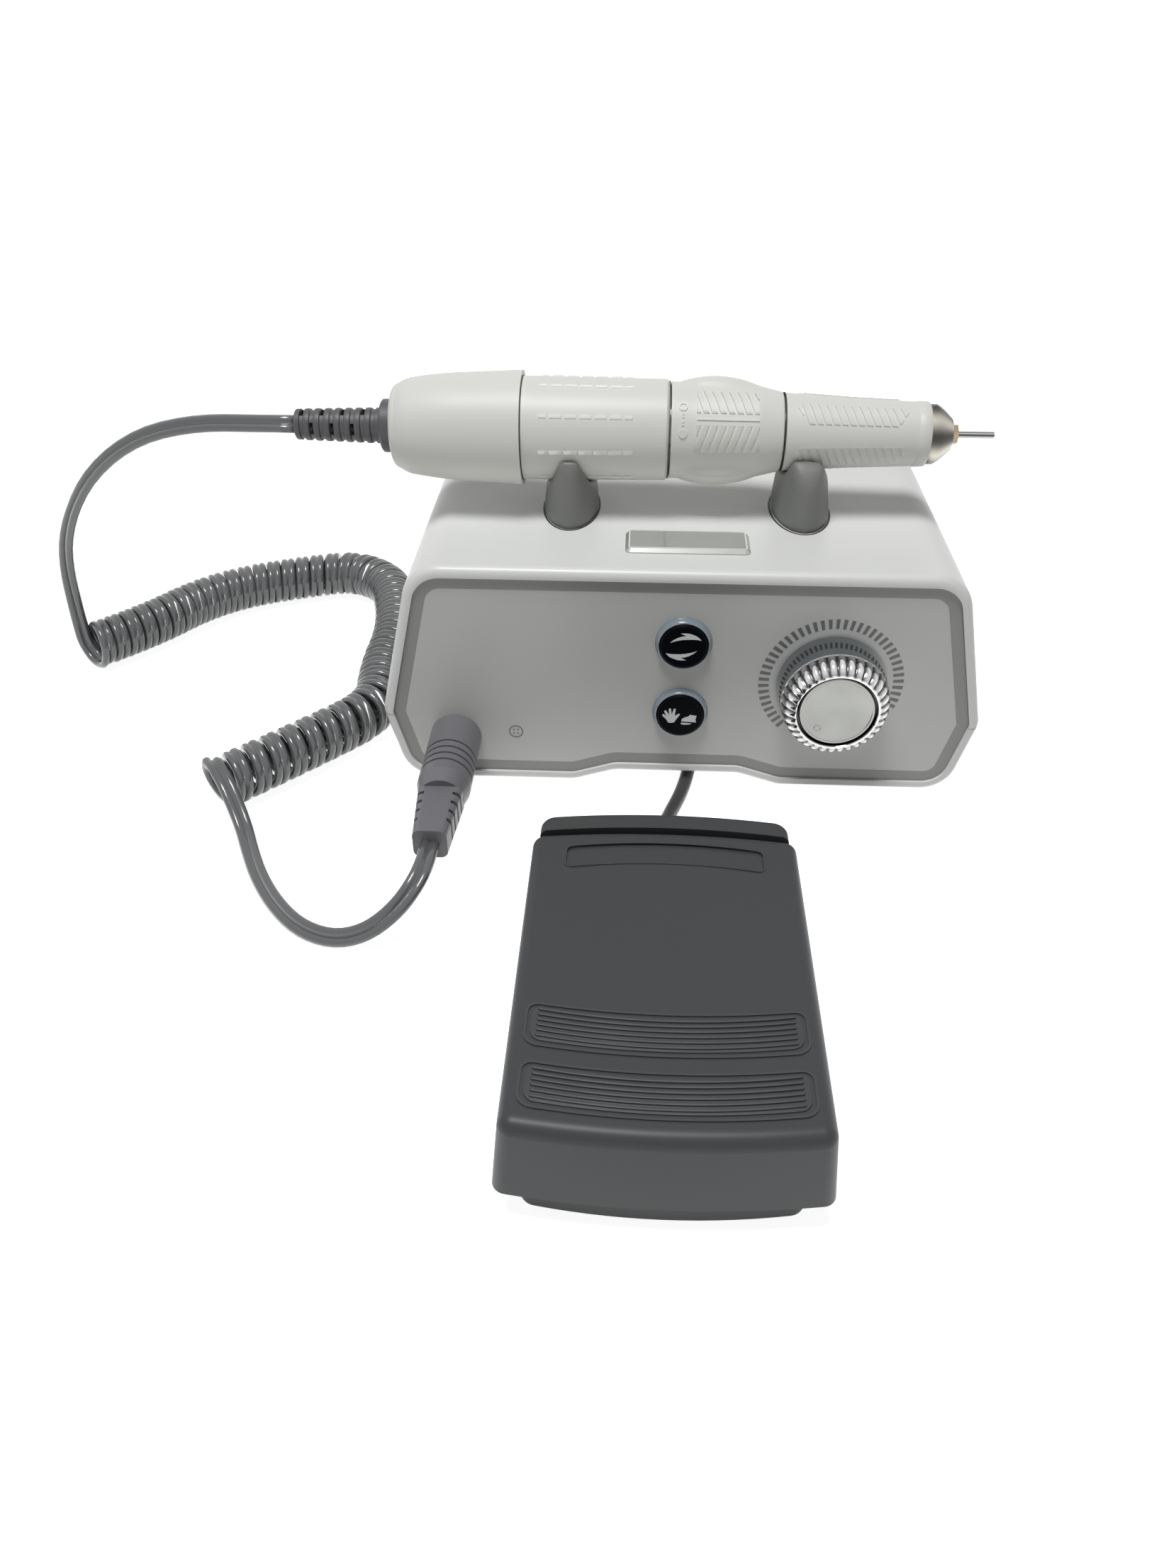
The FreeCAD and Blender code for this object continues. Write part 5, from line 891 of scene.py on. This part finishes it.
def knob_bezel(start, bore, scallops):
    """The chrome bezel, swelling to its crown and turned in to the cap."""
    front = ahead(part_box("speed_knob")[0].y)
    foot, swell = start + 0.55, 3.5
    profile = [(start, bore), (start, 13.9), (start + 0.15, 14.3)]
    for k in range(9):
        turn = math.radians(10 * k)
        profile.append((foot + (front - foot) * math.sin(turn), 14.75 - swell * (1 - math.cos(turn))))
    profile += [(front, 11.2), (front, 10.95), (front - 0.3, 10.7)]
    profile += [(front - 1.6, 10.7), (front - 1.6, bore), (start, bore)]
    piece = lathe("knob_bezel", profile, KNOB, OUT, scallops * 8, 40)
    scallop(piece, scallops, start)
    fit(piece, "speed_dial", "knob_chrome", replaces=["speed_knob"])


def knob_cap():
    """Mirror disc with a turned-down edge and a dimple to aim with."""
    low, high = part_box("knob_cap")
    front, edge = ahead(low.y), (high.x - low.x) / 2 / MM
    face = front - 0.1
    disc = lathe("knob_disc", [
        (front - 0.9, 0), (front - 0.9, edge), (front - 0.3, edge), (front, edge - 0.35), (front, edge - 0.9),
        (face, edge - 1.05), (face, 0),
    ], KNOB, OUT, 96, 20)
    fit(disc, "speed_dial", "cap_silver", replaces=["knob_cap"])
    place = KNOB + Vector((-4.7, 0, -5.2)) * MM + OUT * face * MM
    dimple = lathe("knob_dimple", [
        (0.0, 1.05), (0.12, 0.95), (0.12, 0.8), (-0.05, 0.7), (-0.3, 0.45), (-0.4, 0.2), (-0.42, 0.0),
    ], place, OUT, 32, 60)
    fit(dimple, "speed_dial", "cap_silver")


def light_rings():
    """Rounded clear rings round the two buttons."""
    rings = []
    for node in ("direction_button", "mode_button"):
        centre = middle_of(node)
        centre.y = KNOB.y
        rings.append(lathe("ring", [
            (-3.0, 6.75), (1.75, 6.75), (1.95, 6.85), (1.95, 7.0), (1.7, 7.3), (1.2, 7.5), (0.4, 7.55), (0, 7.8),
            (0, 7.85), (-3.0, 7.6), (-3.0, 6.75),
        ], centre, OUT, 72, 50))
    fit(joined("clear_rings", rings), "unit", "light_ring_clear", replaces=["button_light_rings"])


TURN_ARROW = [
    (-3.77, 1.32), (-2.9, 2.15), (-1.74, 2.87), (-0.6, 3.3), (0.58, 3.47), (-0.2, 3.85), (-1.0, 4.19), (0.3, 4.28),
    (1.45, 4.19), (3.19, 3.53), (4.0, 2.95), (4.7, 2.15), (3.6, 2.36), (2.3, 2.42), (0.9, 2.4), (-0.6, 2.25),
    (-2.2, 1.9),
]
HAND = [
    (-3.35, -2.2), (-3.9, -1.2), (-4.95, -0.1), (-5.1, 0.3), (-4.75, 0.6), (-3.85, -0.1), (-4.6, 1.35), (-4.45, 1.8),
    (-4.05, 1.75), (-3.1, 0.3), (-3.35, 2.15), (-3.05, 2.55), (-2.7, 2.4), (-2.4, 0.5), (-1.95, 2.3), (-1.6, 2.5),
    (-1.35, 2.2), (-1.55, 0.0), (-0.55, 0.75), (-0.15, 0.75), (-0.2, 0.3), (-1.2, -1.3), (-1.6, -2.1), (-2.5, -2.35),
]
SHOE = [
    (0.35, -1.75), (0.5, -1.0), (1.2, -0.45), (2.3, -0.05), (2.75, 0.5), (4.6, 0.2), (4.35, -1.0), (4.55, -2.0),
    (2.6, -1.9),
]
SOLE = [(0.3, -2.65), (0.35, -2.2), (3.3, -2.4), (2.6, -2.75), (1.3, -2.85)]


def signs(name, body, button, outlines):
    """Printed signs on a button's face."""
    centre = middle_of(button)
    centre.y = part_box(button)[0].y - PRINT_GAP
    plates = []
    for outline in outlines:
        plates.append(plate(name, [centre + Vector((x, 0, z)) * MM for x, z in outline], OUT, 0.05 * MM))
    fit(joined(name, plates), body, "button_black", "icon_pale")


# Handpiece

GAP_SHADE_WIDTH = 0.29


def gap_shade_ring(name, x, radius):
    """A dark ring round the handpiece where two of its pieces meet: painted shade standing for the gap between them.
    """
    half = GAP_SHADE_WIDTH / 2
    line = ring_plate(name, along(x), RIGHT, radius - 0.8, radius, half, -half, 96)
    fit(line, "handpiece", "handpiece_white", "painted_gap_shade")


def cord_boot():
    """Ribbed sleeve with windows right through it, and the collar it ends in."""
    low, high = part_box("cord_boot")
    start, end = from_middle(low.x), from_middle(high.x)
    long, bore, thin, pitch, ribs = 24.5, 2.95, 4.25, 2.9, 8
    first, collar = start + 1.5, start + long
    profile = [(start, bore), (start, 3.9), (start + 0.3, 4.2), (first, thin)]
    for k in range(ribs):
        x = first + pitch * k
        radius = thin + 0.7 / long * (x - start)
        profile += [(x + 0.15, radius - 0.45), (x + 1.1, radius - 0.45), (x + 1.3, radius)]
        if k < ribs - 1:
            profile += [(x + 2.0, radius + 0.12), (x + 2.8, radius)]
    profile += [
        (collar, 4.95), (collar + 0.1, 6.7), (collar + 0.6, 7.25), (collar + 3.3, 7.3), (collar + 3.3, 4.9),
        (end, 4.9), (end, bore), (start, bore),
    ]
    sleeve = turned("cord_sleeve", profile, 64)
    windows = []
    for k in range(ribs - 1):
        let_go()
        bpy.ops.mesh.primitive_cube_add(size=MM, location=along(first + pitch * k + 0.62))
        window = bpy.context.object
        window.scale = (1, 20, 3.4) if k % 2 else (1, 3.4, 20)
        if k % 2 == 0:
            window.rotation_euler.x = math.radians(8)
        bpy.ops.object.transform_apply(location=True, rotation=True, scale=True)
        windows.append(window)
    cutter = joined("cutter", windows)
    take(sleeve)
    modify(sleeve, "BOOLEAN", operation="DIFFERENCE", object=cutter)
    bpy.data.objects.remove(cutter)
    smooth_by(35)
    fit(sleeve, "handpiece", "fitting_grey", "sleeve_grey", ["cord_boot"])


def housing_dashes():
    """Nine rows of low dashes round the motor housing, their near white a painted highlight."""
    first, last, gap, short, half = -40.8, -15.3, 0.85, 2.1, 1.9
    dash = (last - first - 2 * short - 6 * gap) / 5
    strips = []
    for row in range(9):
        middle, x = 71.5 - 40 * row, first
        for long in [short] + [dash] * 5 + [short]:
            strips.append([(middle - half, x, x + long), (middle + half, x, x + long)])
            x += long + gap
    piece = relief("housing_dashes", "motor_housing", strips, 0.32 * MM, 0.08 * MM)
    fit(piece, "handpiece", "handpiece_white", "white_and_painted_highlight")


# Degrees up from the front where the long edges of the two wings lie
WING_EDGES = (85, 145, -35, -95)


def ring_shell():
    """The lock ring with its two wings rising softly out of the barrel."""
    low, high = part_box("lock_ring")
    end, reach, bore, half_wide, fade = 2.2 * MM, 3.0 * MM, 11 * MM, 26, 8

    def chosen(place):
        arm = Vector((0, place.y - AXIS.y, place.z - AXIS.z))
        inside = min(place.x - low.x, high.x - place.x)
        if inside < end or arm.length < bore:
            return 0
        degrees = math.degrees(math.atan2(arm.z, -arm.y))
        near = min(abs((degrees - edge + 180) % 360 - 180) for edge in WING_EDGES)
        return min(1, (inside - end) / reach) * max(0, min(1, (half_wide - near) / fade))

    piece = soft_copy("lock_ring", "ring_shell", 0.4 * MM, 110, chosen)
    smooth_by(40)
    fit(piece, "chuck_ring", "handpiece_white", replaces=["lock_ring"])


def ring_ribs():
    """Slanted ribs on the lock ring, mirrored about a bar, in front and behind."""
    left, right, high = 1.95, 18.9, 0.34 * MM
    strips, bars = [], []
    for middle in (32.4, 212.4):
        bars.append([(middle - 1.0, left, right), (middle + 1.0, left, right)])
        for k in range(10):
            for way in (1, -1):
                near, far = middle + 7 * way, middle + 40 * way
                rows = slanted(near, far, 1.45 + 2.31 * k, 1.72, 2.4, lambda d: left, lambda d: right)
                if len(rows) > 1:
                    strips.append(rows)
    ribs = relief("ring_ribs", "lock_ring", strips, high, 0.12 * MM)
    fit(ribs, "chuck_ring", "handpiece_white")
    bars = relief("ring_bars", "lock_ring", bars, high, 0.1 * MM)
    # Painted highlight: the raised bars are near white, brighter than the ring they stand on.
    fit(bars, "chuck_ring", "handpiece_white", "white_and_painted_highlight")


def ring_marks():
    """Open and closed signs on the lock ring: a ring, dots between, and a full disc."""
    marks = []
    for degrees, size, hole in ((47.5, 1.25, 0.8), *((d, 0.35, 0) for d in (38.5, 35, 29, 25.5)), (15.5, 1.25, 0)):
        place, way = standing_out("lock_ring", -1.7, degrees)
        marks.append(lathe("mark", [
            (-0.1, hole), (0.16, hole), (0.2, hole + 0.06 if hole else 0), (0.2, size - 0.08), (0.14, size),
            (-0.1, size), (-0.1, hole),
        ], place, way, 24))
    fit(joined("ring_marks", marks), "chuck_ring", "handpiece_white")


def grip_ribs():
    """Panels of slanted ribs round the front grip, pointed at both ends."""
    strips = []
    for turn in range(0, -360, -72):
        tip, low, top = 56.6 + turn, 30 + turn, 66 + turn

        def cut_back(degrees, below):
            if degrees > tip:
                return (degrees - tip) / (top - tip) * 1.0
            return (tip - degrees) / (tip - low) * below

        for k in range(14):
            rows = slanted(
                low, top, 30.2 + 2.25 * k, 1.85, 2.1,
                lambda degrees: 29.5 + cut_back(degrees, 2.8), lambda degrees: 59.7 - cut_back(degrees, 2.4),
            )
            if len(rows) > 1:
                strips.append(rows)
    piece = relief("grip_ribs", "front_grip", strips, 0.3 * MM, 0.12 * MM)
    fit(piece, "handpiece", "handpiece_white")


def nose_ring():
    """White ring at the front of the grip, and the small holes in the nose for a key, drawn as dark discs of painted
    shade.
    """
    end = from_middle(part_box("front_grip")[1].x)
    radius = (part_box("nose_cone")[1].z - AXIS.z) / MM
    piece = turned("nose_ring", [
        (end - 3.4, 8.3), (end - 3.4, 8.66), (end - 3.15, 8.82), (end - 0.35, 8.74), (end, 8.5), (end, radius - 0.4),
        (end - 3.4, 8.3),
    ], 96)
    fit(piece, "handpiece", "handpiece_white")
    pits = []
    for degrees in (84, 264):
        place, way = standing_out("nose_cone", end + 1.3, degrees)
        pits.append(ring_plate("pit", place, way, 0, 0.6, 0.03, -0.1, 20))
    fit(joined("nose_pits", pits), "handpiece", "nose_steel", "painted_gap_shade")


def paint_reflection_bands(piece, dark, light):
    """Painted reflection: lighter and darker bands round a turned piece, kept as a shade on its points."""
    shade = piece.data.attributes.new("painted_reflection", "FLOAT", "POINT")
    for v in piece.data.vertices:
        turn = math.atan2(v.co.z - AXIS.z, AXIS.y - v.co.y)
        wave = 0.5 + 0.5 * math.cos(5 * (turn - math.radians(46)))
        shade.data[v.index].value = dark + (light - dark) * wave ** 1.5


def nose_shell():
    """The metal nose, its cone swelling a little on the way to the nut."""
    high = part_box("nose_cone")[1]
    back = from_middle(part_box("front_grip")[1].x) - 0.5
    tip, wide, narrow, bore, steps = from_middle(high.x), (high.z - AXIS.z) / MM, 4.2, 3.15, 9
    start = tip - 4.3
    profile = [(back, wide - 1.5), (back, wide), (start - 0.3, wide), (start, wide - 0.15)]
    for k in range(1, steps + 1):
        share = k / steps
        profile.append((start + (tip - start) * share, wide - 0.15 - (wide - 0.35 - narrow) * share ** 1.2))
    profile += [(tip, narrow - 0.05), (tip, bore), (back, bore), (back, wide - 1.5)]
    piece = turned("nose_shell", profile, 120)
    # Painted reflection: lighter and darker bands round the nose.
    paint_reflection_bands(piece, 0.22, 1.75)
    fit(piece, "handpiece", "nose_steel", replaces=["nose_cone"])


def bar_shell():
    """The test bar of mirror-bright steel with its rounded end, its reflections painted on as bands."""
    low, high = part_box("test_bar")
    start, tip, shank, thin = from_middle(low.x), from_middle(high.x), (high.z - AXIS.z) / MM, 0.9
    face = from_middle(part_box("collet_nut")[1].x) - 0.6
    piece = turned("bar_shell", [
        (start, 0), (start, shank), (face, shank), (face, thin), (tip - 0.35, thin), (tip - 0.1, 0.75), (tip, 0.4),
        (tip, 0),
    ], 60)
    # Painted reflection: a bright band and darker ones round the bar.
    paint_reflection_bands(piece, 0.16, 1.25)
    fit(piece, "tool", "part_steel", "bar_steel", replaces=["test_bar"])


# Pedal

PEDAL = Vector((middle_of("pedal_grips").x, 0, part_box("pedal_cover")[1].z))
BOW_STEPS = 14
BOW_CORNERS = (0, BOW_STEPS, BOW_STEPS + 1, 2 * BOW_STEPS + 1)


def bowed_outline(half, back, front, drop):
    """A band across the pedal whose long sides bow by drop towards the front, in millimetres from the rim."""
    rows = []
    for y, way in ((back, 1), (front, -1)):
        for k in range(BOW_STEPS + 1):
            share = way * (2 * k / BOW_STEPS - 1)
            y_here = RIM.y + (y - drop * (1 - share * share)) * MM
            rows.append(Vector((PEDAL.x + half * share * MM, y_here, PEDAL.z)))
    return rows


def tread(name, back, front):
    """One of the two bowed treads: a raised edge, a pad and six ribs along it."""
    drop, half, corner, edge, thin = 2.3, 27.2, 2.2 * MM, 1.3, 0.38
    outline = bowed_outline(half + edge, back + edge, front - edge, drop)
    parts = [frame_of(name, outline, 0.55 * MM, 0.28 * MM, [(corner * 1.3, BOW_CORNERS)])]
    pad = bowed_outline(half, back, front, drop)
    parts.append(plate(name, pad, UP, 0.3 * MM, 0.12 * MM, [(corner, BOW_CORNERS)]))
    for k in range(6):
        middle = back - (back - front) / 6.4 * (k + 0.7)
        rib = bowed_outline(half - 1.2, middle + thin, middle - thin, drop)
        parts.append(plate(name, rib, UP, 0.72 * MM, 0.2 * MM, [(0.36 * MM, BOW_CORNERS)]))
    return joined(name, parts)


def return_springs():
    """The two springs under the pedal's cover, copied from the node and smoothed."""
    piece = copy_of("pedal_springs", "return_springs")
    smooth_by(50)
    fit(piece, "unit", "part_steel", replaces=["pedal_springs"])
    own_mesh(piece)


def label_rim():
    """The raised line round the field at the pedal's back."""
    outline = bowed_outline(23.6, -64.7, -72.7, -2.2)
    rim = frame_of("label_rim", outline, 0.45 * MM, 0.16 * MM, [(1.8 * MM, BOW_CORNERS)])
    fit(rim, "pedal_top", "pedal_grey")


# Back

def rocker_signs():
    """A bar and a ring on the rocker, for on and off."""
    low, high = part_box("power_rocker")
    parts = []
    for up in (1, -1):
        behind = Vector(((low.x + high.x) / 2, high.y + 0.01, (low.z + high.z) / 2 + up * (high.z - low.z) * 0.27))
        hit, place, normal, _ = NODES["power_rocker"].ray_cast(behind, OUT)
        if not hit:
            raise ValueError("the rocker isn't behind its sign")
        if up < 0:
            parts.append(ring_plate("sign", place, normal, 1.2, 1.65, 0.06, -0.1, 32))
            continue
        tall = normal.cross(RIGHT).normalized()
        corners = ((-0.25, -1.7), (0.25, -1.7), (0.25, 1.7), (-0.25, 1.7))
        outline = [place + (RIGHT * a + tall * b - normal * 0.1) * MM for a, b in corners]
        parts.append(plate("sign", outline, normal, 0.16 * MM))
    fit(joined("rocker_signs", parts), "power_key", "part_black", "icon_pale")


# Settings

def length(name, description, default):
    return bpy.props.FloatProperty(name=name, description=description, default=default, unit="LENGTH", min=0)


def color(name, description, default):
    return bpy.props.FloatVectorProperty(
        name=name, description=description, default=default, size=3, min=0, max=1, subtype="COLOR",
    )


class MicromotorLook(bpy.types.PropertyGroup):
    shell_color: color("Box shell", "Colour of the box's two shells", (0.80, 0.81, 0.79))
    handpiece_color: color("Handpiece", "Colour of the handpiece's enamel", (0.785, 0.79, 0.75))
    panel_color: color("Panel", "Colour of the front panel", (0.626, 0.63, 0.607))
    band_color: color("Panel band", "Colour of the band round the panel's edge", (0.311, 0.315, 0.3))
    rest_color: color("Rests", "Colour of the cradle's rests", (0.209, 0.214, 0.203))
    fitting_color: color("Fittings", "Colour of plug and strain reliefs", (0.18, 0.175, 0.19))
    cord_color: color("Cord", "Colour of the handpiece cord", (0.115, 0.119, 0.122))
    pedal_color: color("Pedal", "Colour of the foot pedal", (0.046, 0.049, 0.052))
    base_color: color("Pedal base", "Colour of the pedal's base", (0.034, 0.035, 0.037))
    sleeve_color: color("Cord sleeve", "Colour of the ribbed sleeve on the cord", (0.085, 0.083, 0.09))
    tick_color: color("Dial ticks", "Colour of the marks round the knob", (0.155, 0.158, 0.15))
    mark_color: color("Panel marks", "Colour of the pale print on the panel", (0.22, 0.22, 0.21))


class MicromotorDetail(bpy.types.PropertyGroup):
    band_width: length("Panel band", "Width of the border printed round the panel", 0.0033)
    tick_inner: length("Ticks from", "Radius where the marks round the knob start", 0.0171)
    tick_outer: length("Ticks to", "Radius where the marks round the knob end", 0.0200)
    scallops: bpy.props.IntProperty(name="Scallops", description="Scallops round the knob", default=34, min=3)


class MicromotorCords(bpy.types.PropertyGroup):
    wire_diameter: length("Wire", "Diameter of one of the cord's two wires", 0.0026)
    coil_diameter: length("Coil", "Outer diameter of the curly stretch", 0.0158)
    cord_length: length("Cord length", "Length of the handpiece cord along its wires", 2.1)
    cable_diameter: length("Cable", "Diameter of the pedal's cable", 0.004)
    cable_length: length("Cable length", "Length of the pedal's cable", 1.46)


def angle(name, description, default):
    return bpy.props.FloatProperty(
        name=name, description=description, default=math.radians(default), subtype="ANGLE",
    )


class MicromotorStage(bpy.types.PropertyGroup):
    camera_place: bpy.props.FloatVectorProperty(
        name="Camera", description="Where the camera stands, from the rim of the box", size=3, subtype="XYZ",
        unit="LENGTH", default=(-0.012768, -0.2832, 0.208304),
    )
    camera_pitch: angle("Pitch", "How far the camera looks down", 36.16)
    camera_turn: angle("Turn", "How far the camera looks to the left", 2.65)
    focal_share: bpy.props.FloatProperty(
        name="Focal length", description="Focal length as a share of the picture's height", default=1664 / 2212,
    )


# Operators

FILM = 36


class MICROMOTOR_OT_stage(bpy.types.Operator):
    """Floor, soft light and the camera"""
    bl_idname = "micromotor.stage"
    bl_label = "Stage"

    def execute(self, context):
        sizes = context.scene.micromotor_stage
        let_go()
        bpy.ops.object.camera_add(
            location=RIM + Vector(sizes.camera_place),
            rotation=(math.pi / 2 - sizes.camera_pitch, 0, sizes.camera_turn),
        )
        camera = context.object
        camera.data.sensor_width = FILM
        camera.data.lens = FILM * sizes.focal_share
        camera.data.clip_start = 0.01
        context.scene.camera = camera
        bpy.ops.mesh.primitive_plane_add(size=6, location=(0, 1, 0))
        floor = context.object
        floor.name = "floor"
        floor.data.materials.append(floor_finish(0.88))
        place = Vector((-0.12, -0.2, 1.1))
        aimed = (Vector((0, 0.02, 0.05)) - place).to_track_quat("-Z", "Y").to_euler()
        bpy.ops.object.light_add(type="AREA", location=place, rotation=aimed)
        lamp = context.object.data
        lamp.size, lamp.energy = 0.36, 8.2
        context.scene.world = bpy.data.worlds.new("studio")
        studio(context.scene.world)
        context.scene.view_settings.view_transform = "Standard"
        return {"FINISHED"}


def seen_by_eye(tree):
    """One where a ray comes from the camera, a mirror or glass."""
    rays = shader_node(tree, "LightPath").outputs
    value = rays["Is Camera Ray"]
    for name in ("Is Glossy Ray", "Is Transmission Ray"):
        value = calc(tree, "MAXIMUM", value, rays[name])
    return value


def studio(world):
    """Soft pale light all round, and a white background."""
    world.use_nodes = True
    tree = world.node_tree
    soft = tree.nodes["Background"]
    feed(tree, (0.98, 0.99, 1.0, 1), soft.inputs["Color"])
    feed(tree, 0.12, soft.inputs["Strength"])
    white = shader_node(tree, "Background", [("Color", (1, 1, 1, 1)), ("Strength", 1.0)])
    rows = [("Fac", seen_by_eye(tree)), (1, soft.outputs[0]), (2, white.outputs[0])]
    mix = shader_node(tree, "MixShader", rows)
    feed(tree, mix.outputs[0], tree.nodes["World Output"].inputs["Surface"])


def floor_finish(glow):
    """White bench: pale where light falls on it, and lifted to white for the eye, so that shadows stay."""
    material, tree, shader = new_material("floor_white")
    for socket, value in (
        ("Base Color", (0.94, 0.94, 0.94, 1)), ("Roughness", 0.9), ("Specular IOR Level", 0.0),
        ("Emission Color", (1, 1, 1, 1)), ("Emission Strength", calc(tree, "MULTIPLY", seen_by_eye(tree), glow)),
    ):
        feed(tree, value, shader[socket])
    return material


class MICROMOTOR_OT_finishes(bpy.types.Operator):
    """The finishes, and each on the nodes that use it"""
    bl_idname = "micromotor.finishes"
    bl_label = "Finishes"

    def execute(self, context):
        make_finishes()
        dress_nodes()
        return {"FINISHED"}


class MICROMOTOR_OT_cords(bpy.types.Operator):
    """Handpiece cord with its curly stretch, and the pedal's cable"""
    bl_idname = "micromotor.cords"
    bl_label = "Cords"

    def execute(self, context):
        sizes = context.scene.micromotor_cords
        handpiece_cord(sizes)
        pedal_cable(sizes)
        return {"FINISHED"}


class MICROMOTOR_OT_front(bpy.types.Operator):
    """Printed border and marks of the front panel, the nameplate's edge and the rests"""
    bl_idname = "micromotor.front"
    bl_label = "Front and top"

    def execute(self, context):
        sizes = context.scene.micromotor_detail
        panel_band(sizes.band_width)
        dial_ticks(41, 227, 6.2, sizes.tick_inner, sizes.tick_outer)
        socket_mark()
        nameplate_detail()
        for node, strength in (("rest_left", 30), ("rest_right", 60)):
            rest_gap(node, 0.35 * MM)
            soft_rest(node, 0.45 * MM, strength)
        return {"FINISHED"}


class MICROMOTOR_OT_controls(bpy.types.Operator):
    """Scalloped speed knob, and the two buttons' rings and signs"""
    bl_idname = "micromotor.controls"
    bl_label = "Controls"

    def execute(self, context):
        start, bore = ahead(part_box("knob_skirt")[0].y), 3.1
        knob_skirt(start, bore)
        knob_bezel(start, bore, context.scene.micromotor_detail.scallops)
        knob_cap()
        light_rings()
        back_turn = [(-x - 0.2, -z + 0.2) for x, z in TURN_ARROW]
        signs("direction_sign", "direction_key", "direction_button", [TURN_ARROW, back_turn])
        signs("mode_sign", "mode_key", "mode_button", [HAND, SHOE, SOLE])
        return {"FINISHED"}


class MICROMOTOR_OT_handpiece(bpy.types.Operator):
    """Cord sleeve, dashes, ribs, rings, nose and bar of the handpiece, and painted shade in its seams"""
    bl_idname = "micromotor.handpiece"
    bl_label = "Handpiece"

    def execute(self, context):
        cord_boot()
        housing_dashes()
        ring_ribs()
        ring_marks()
        grip_ribs()
        nose_ring()
        ring_shell()
        nose_shell()
        bar_shell()
        gap_shade_ring("seam_cap", from_middle(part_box("rear_cap")[1].x) + 0.15, 14.12)
        gap_shade_ring("seam_motor", from_middle(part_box("motor_housing")[1].x) - 0.05, 13.16)
        gap_shade_ring("seam_ring", from_middle(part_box("front_grip")[0].x) + 0.05, 10.62)
        return {"FINISHED"}


class MICROMOTOR_OT_pedal(bpy.types.Operator):
    """Springs, treads and label edge of the foot pedal"""
    bl_idname = "micromotor.pedal"
    bl_label = "Pedal"

    def execute(self, context):
        return_springs()
        treads = joined("pedal_treads", [tread("tread_rear", -116.6, -125.4), tread("tread_front", -131.8, -140.4)])
        fit(treads, "pedal_top", "grip_rubber", replaces=["pedal_grips"])
        label_rim()
        return {"FINISHED"}


class MICROMOTOR_OT_back(bpy.types.Operator):
    """Signs on the power switch behind the box"""
    bl_idname = "micromotor.back"
    bl_label = "Back panel"

    def execute(self, context):
        rocker_signs()
        return {"FINISHED"}


class MICROMOTOR_PT_panel(bpy.types.Panel):
    """Buttons that build the pieces, and their sizes and colours"""
    bl_label = "Micromotor"
    bl_idname = "MICROMOTOR_PT_panel"
    bl_space_type = "VIEW_3D"
    bl_region_type = "UI"
    bl_category = "Micromotor"

    def draw(self, context):
        for operator in OPERATORS:
            self.layout.operator(operator.bl_idname)
        for name in SETTINGS:
            group = getattr(context.scene, name)
            for key in group.__annotations__:
                self.layout.prop(group, key)


SETTINGS = {
    "micromotor_look": MicromotorLook,
    "micromotor_detail": MicromotorDetail,
    "micromotor_cords": MicromotorCords,
    "micromotor_stage": MicromotorStage,
}
OPERATORS = [
    MICROMOTOR_OT_finishes,
    MICROMOTOR_OT_stage,
    MICROMOTOR_OT_cords,
    MICROMOTOR_OT_front,
    MICROMOTOR_OT_controls,
    MICROMOTOR_OT_handpiece,
    MICROMOTOR_OT_pedal,
    MICROMOTOR_OT_back,
]


def register():
    for name, kind in SETTINGS.items():
        bpy.utils.register_class(kind)
        setattr(bpy.types.Scene, name, bpy.props.PointerProperty(type=kind))
    for kind in [*OPERATORS, MICROMOTOR_PT_panel]:
        bpy.utils.register_class(kind)


def unregister():
    for kind in [MICROMOTOR_PT_panel, *reversed(OPERATORS)]:
        bpy.utils.unregister_class(kind)
    for name, kind in SETTINGS.items():
        delattr(bpy.types.Scene, name)
        bpy.utils.unregister_class(kind)


def main():
    register()
    for operator in OPERATORS:
        group, name = operator.bl_idname.split(".")
        getattr(getattr(bpy.ops, group), name)()


if __name__ == "__main__":
    main()
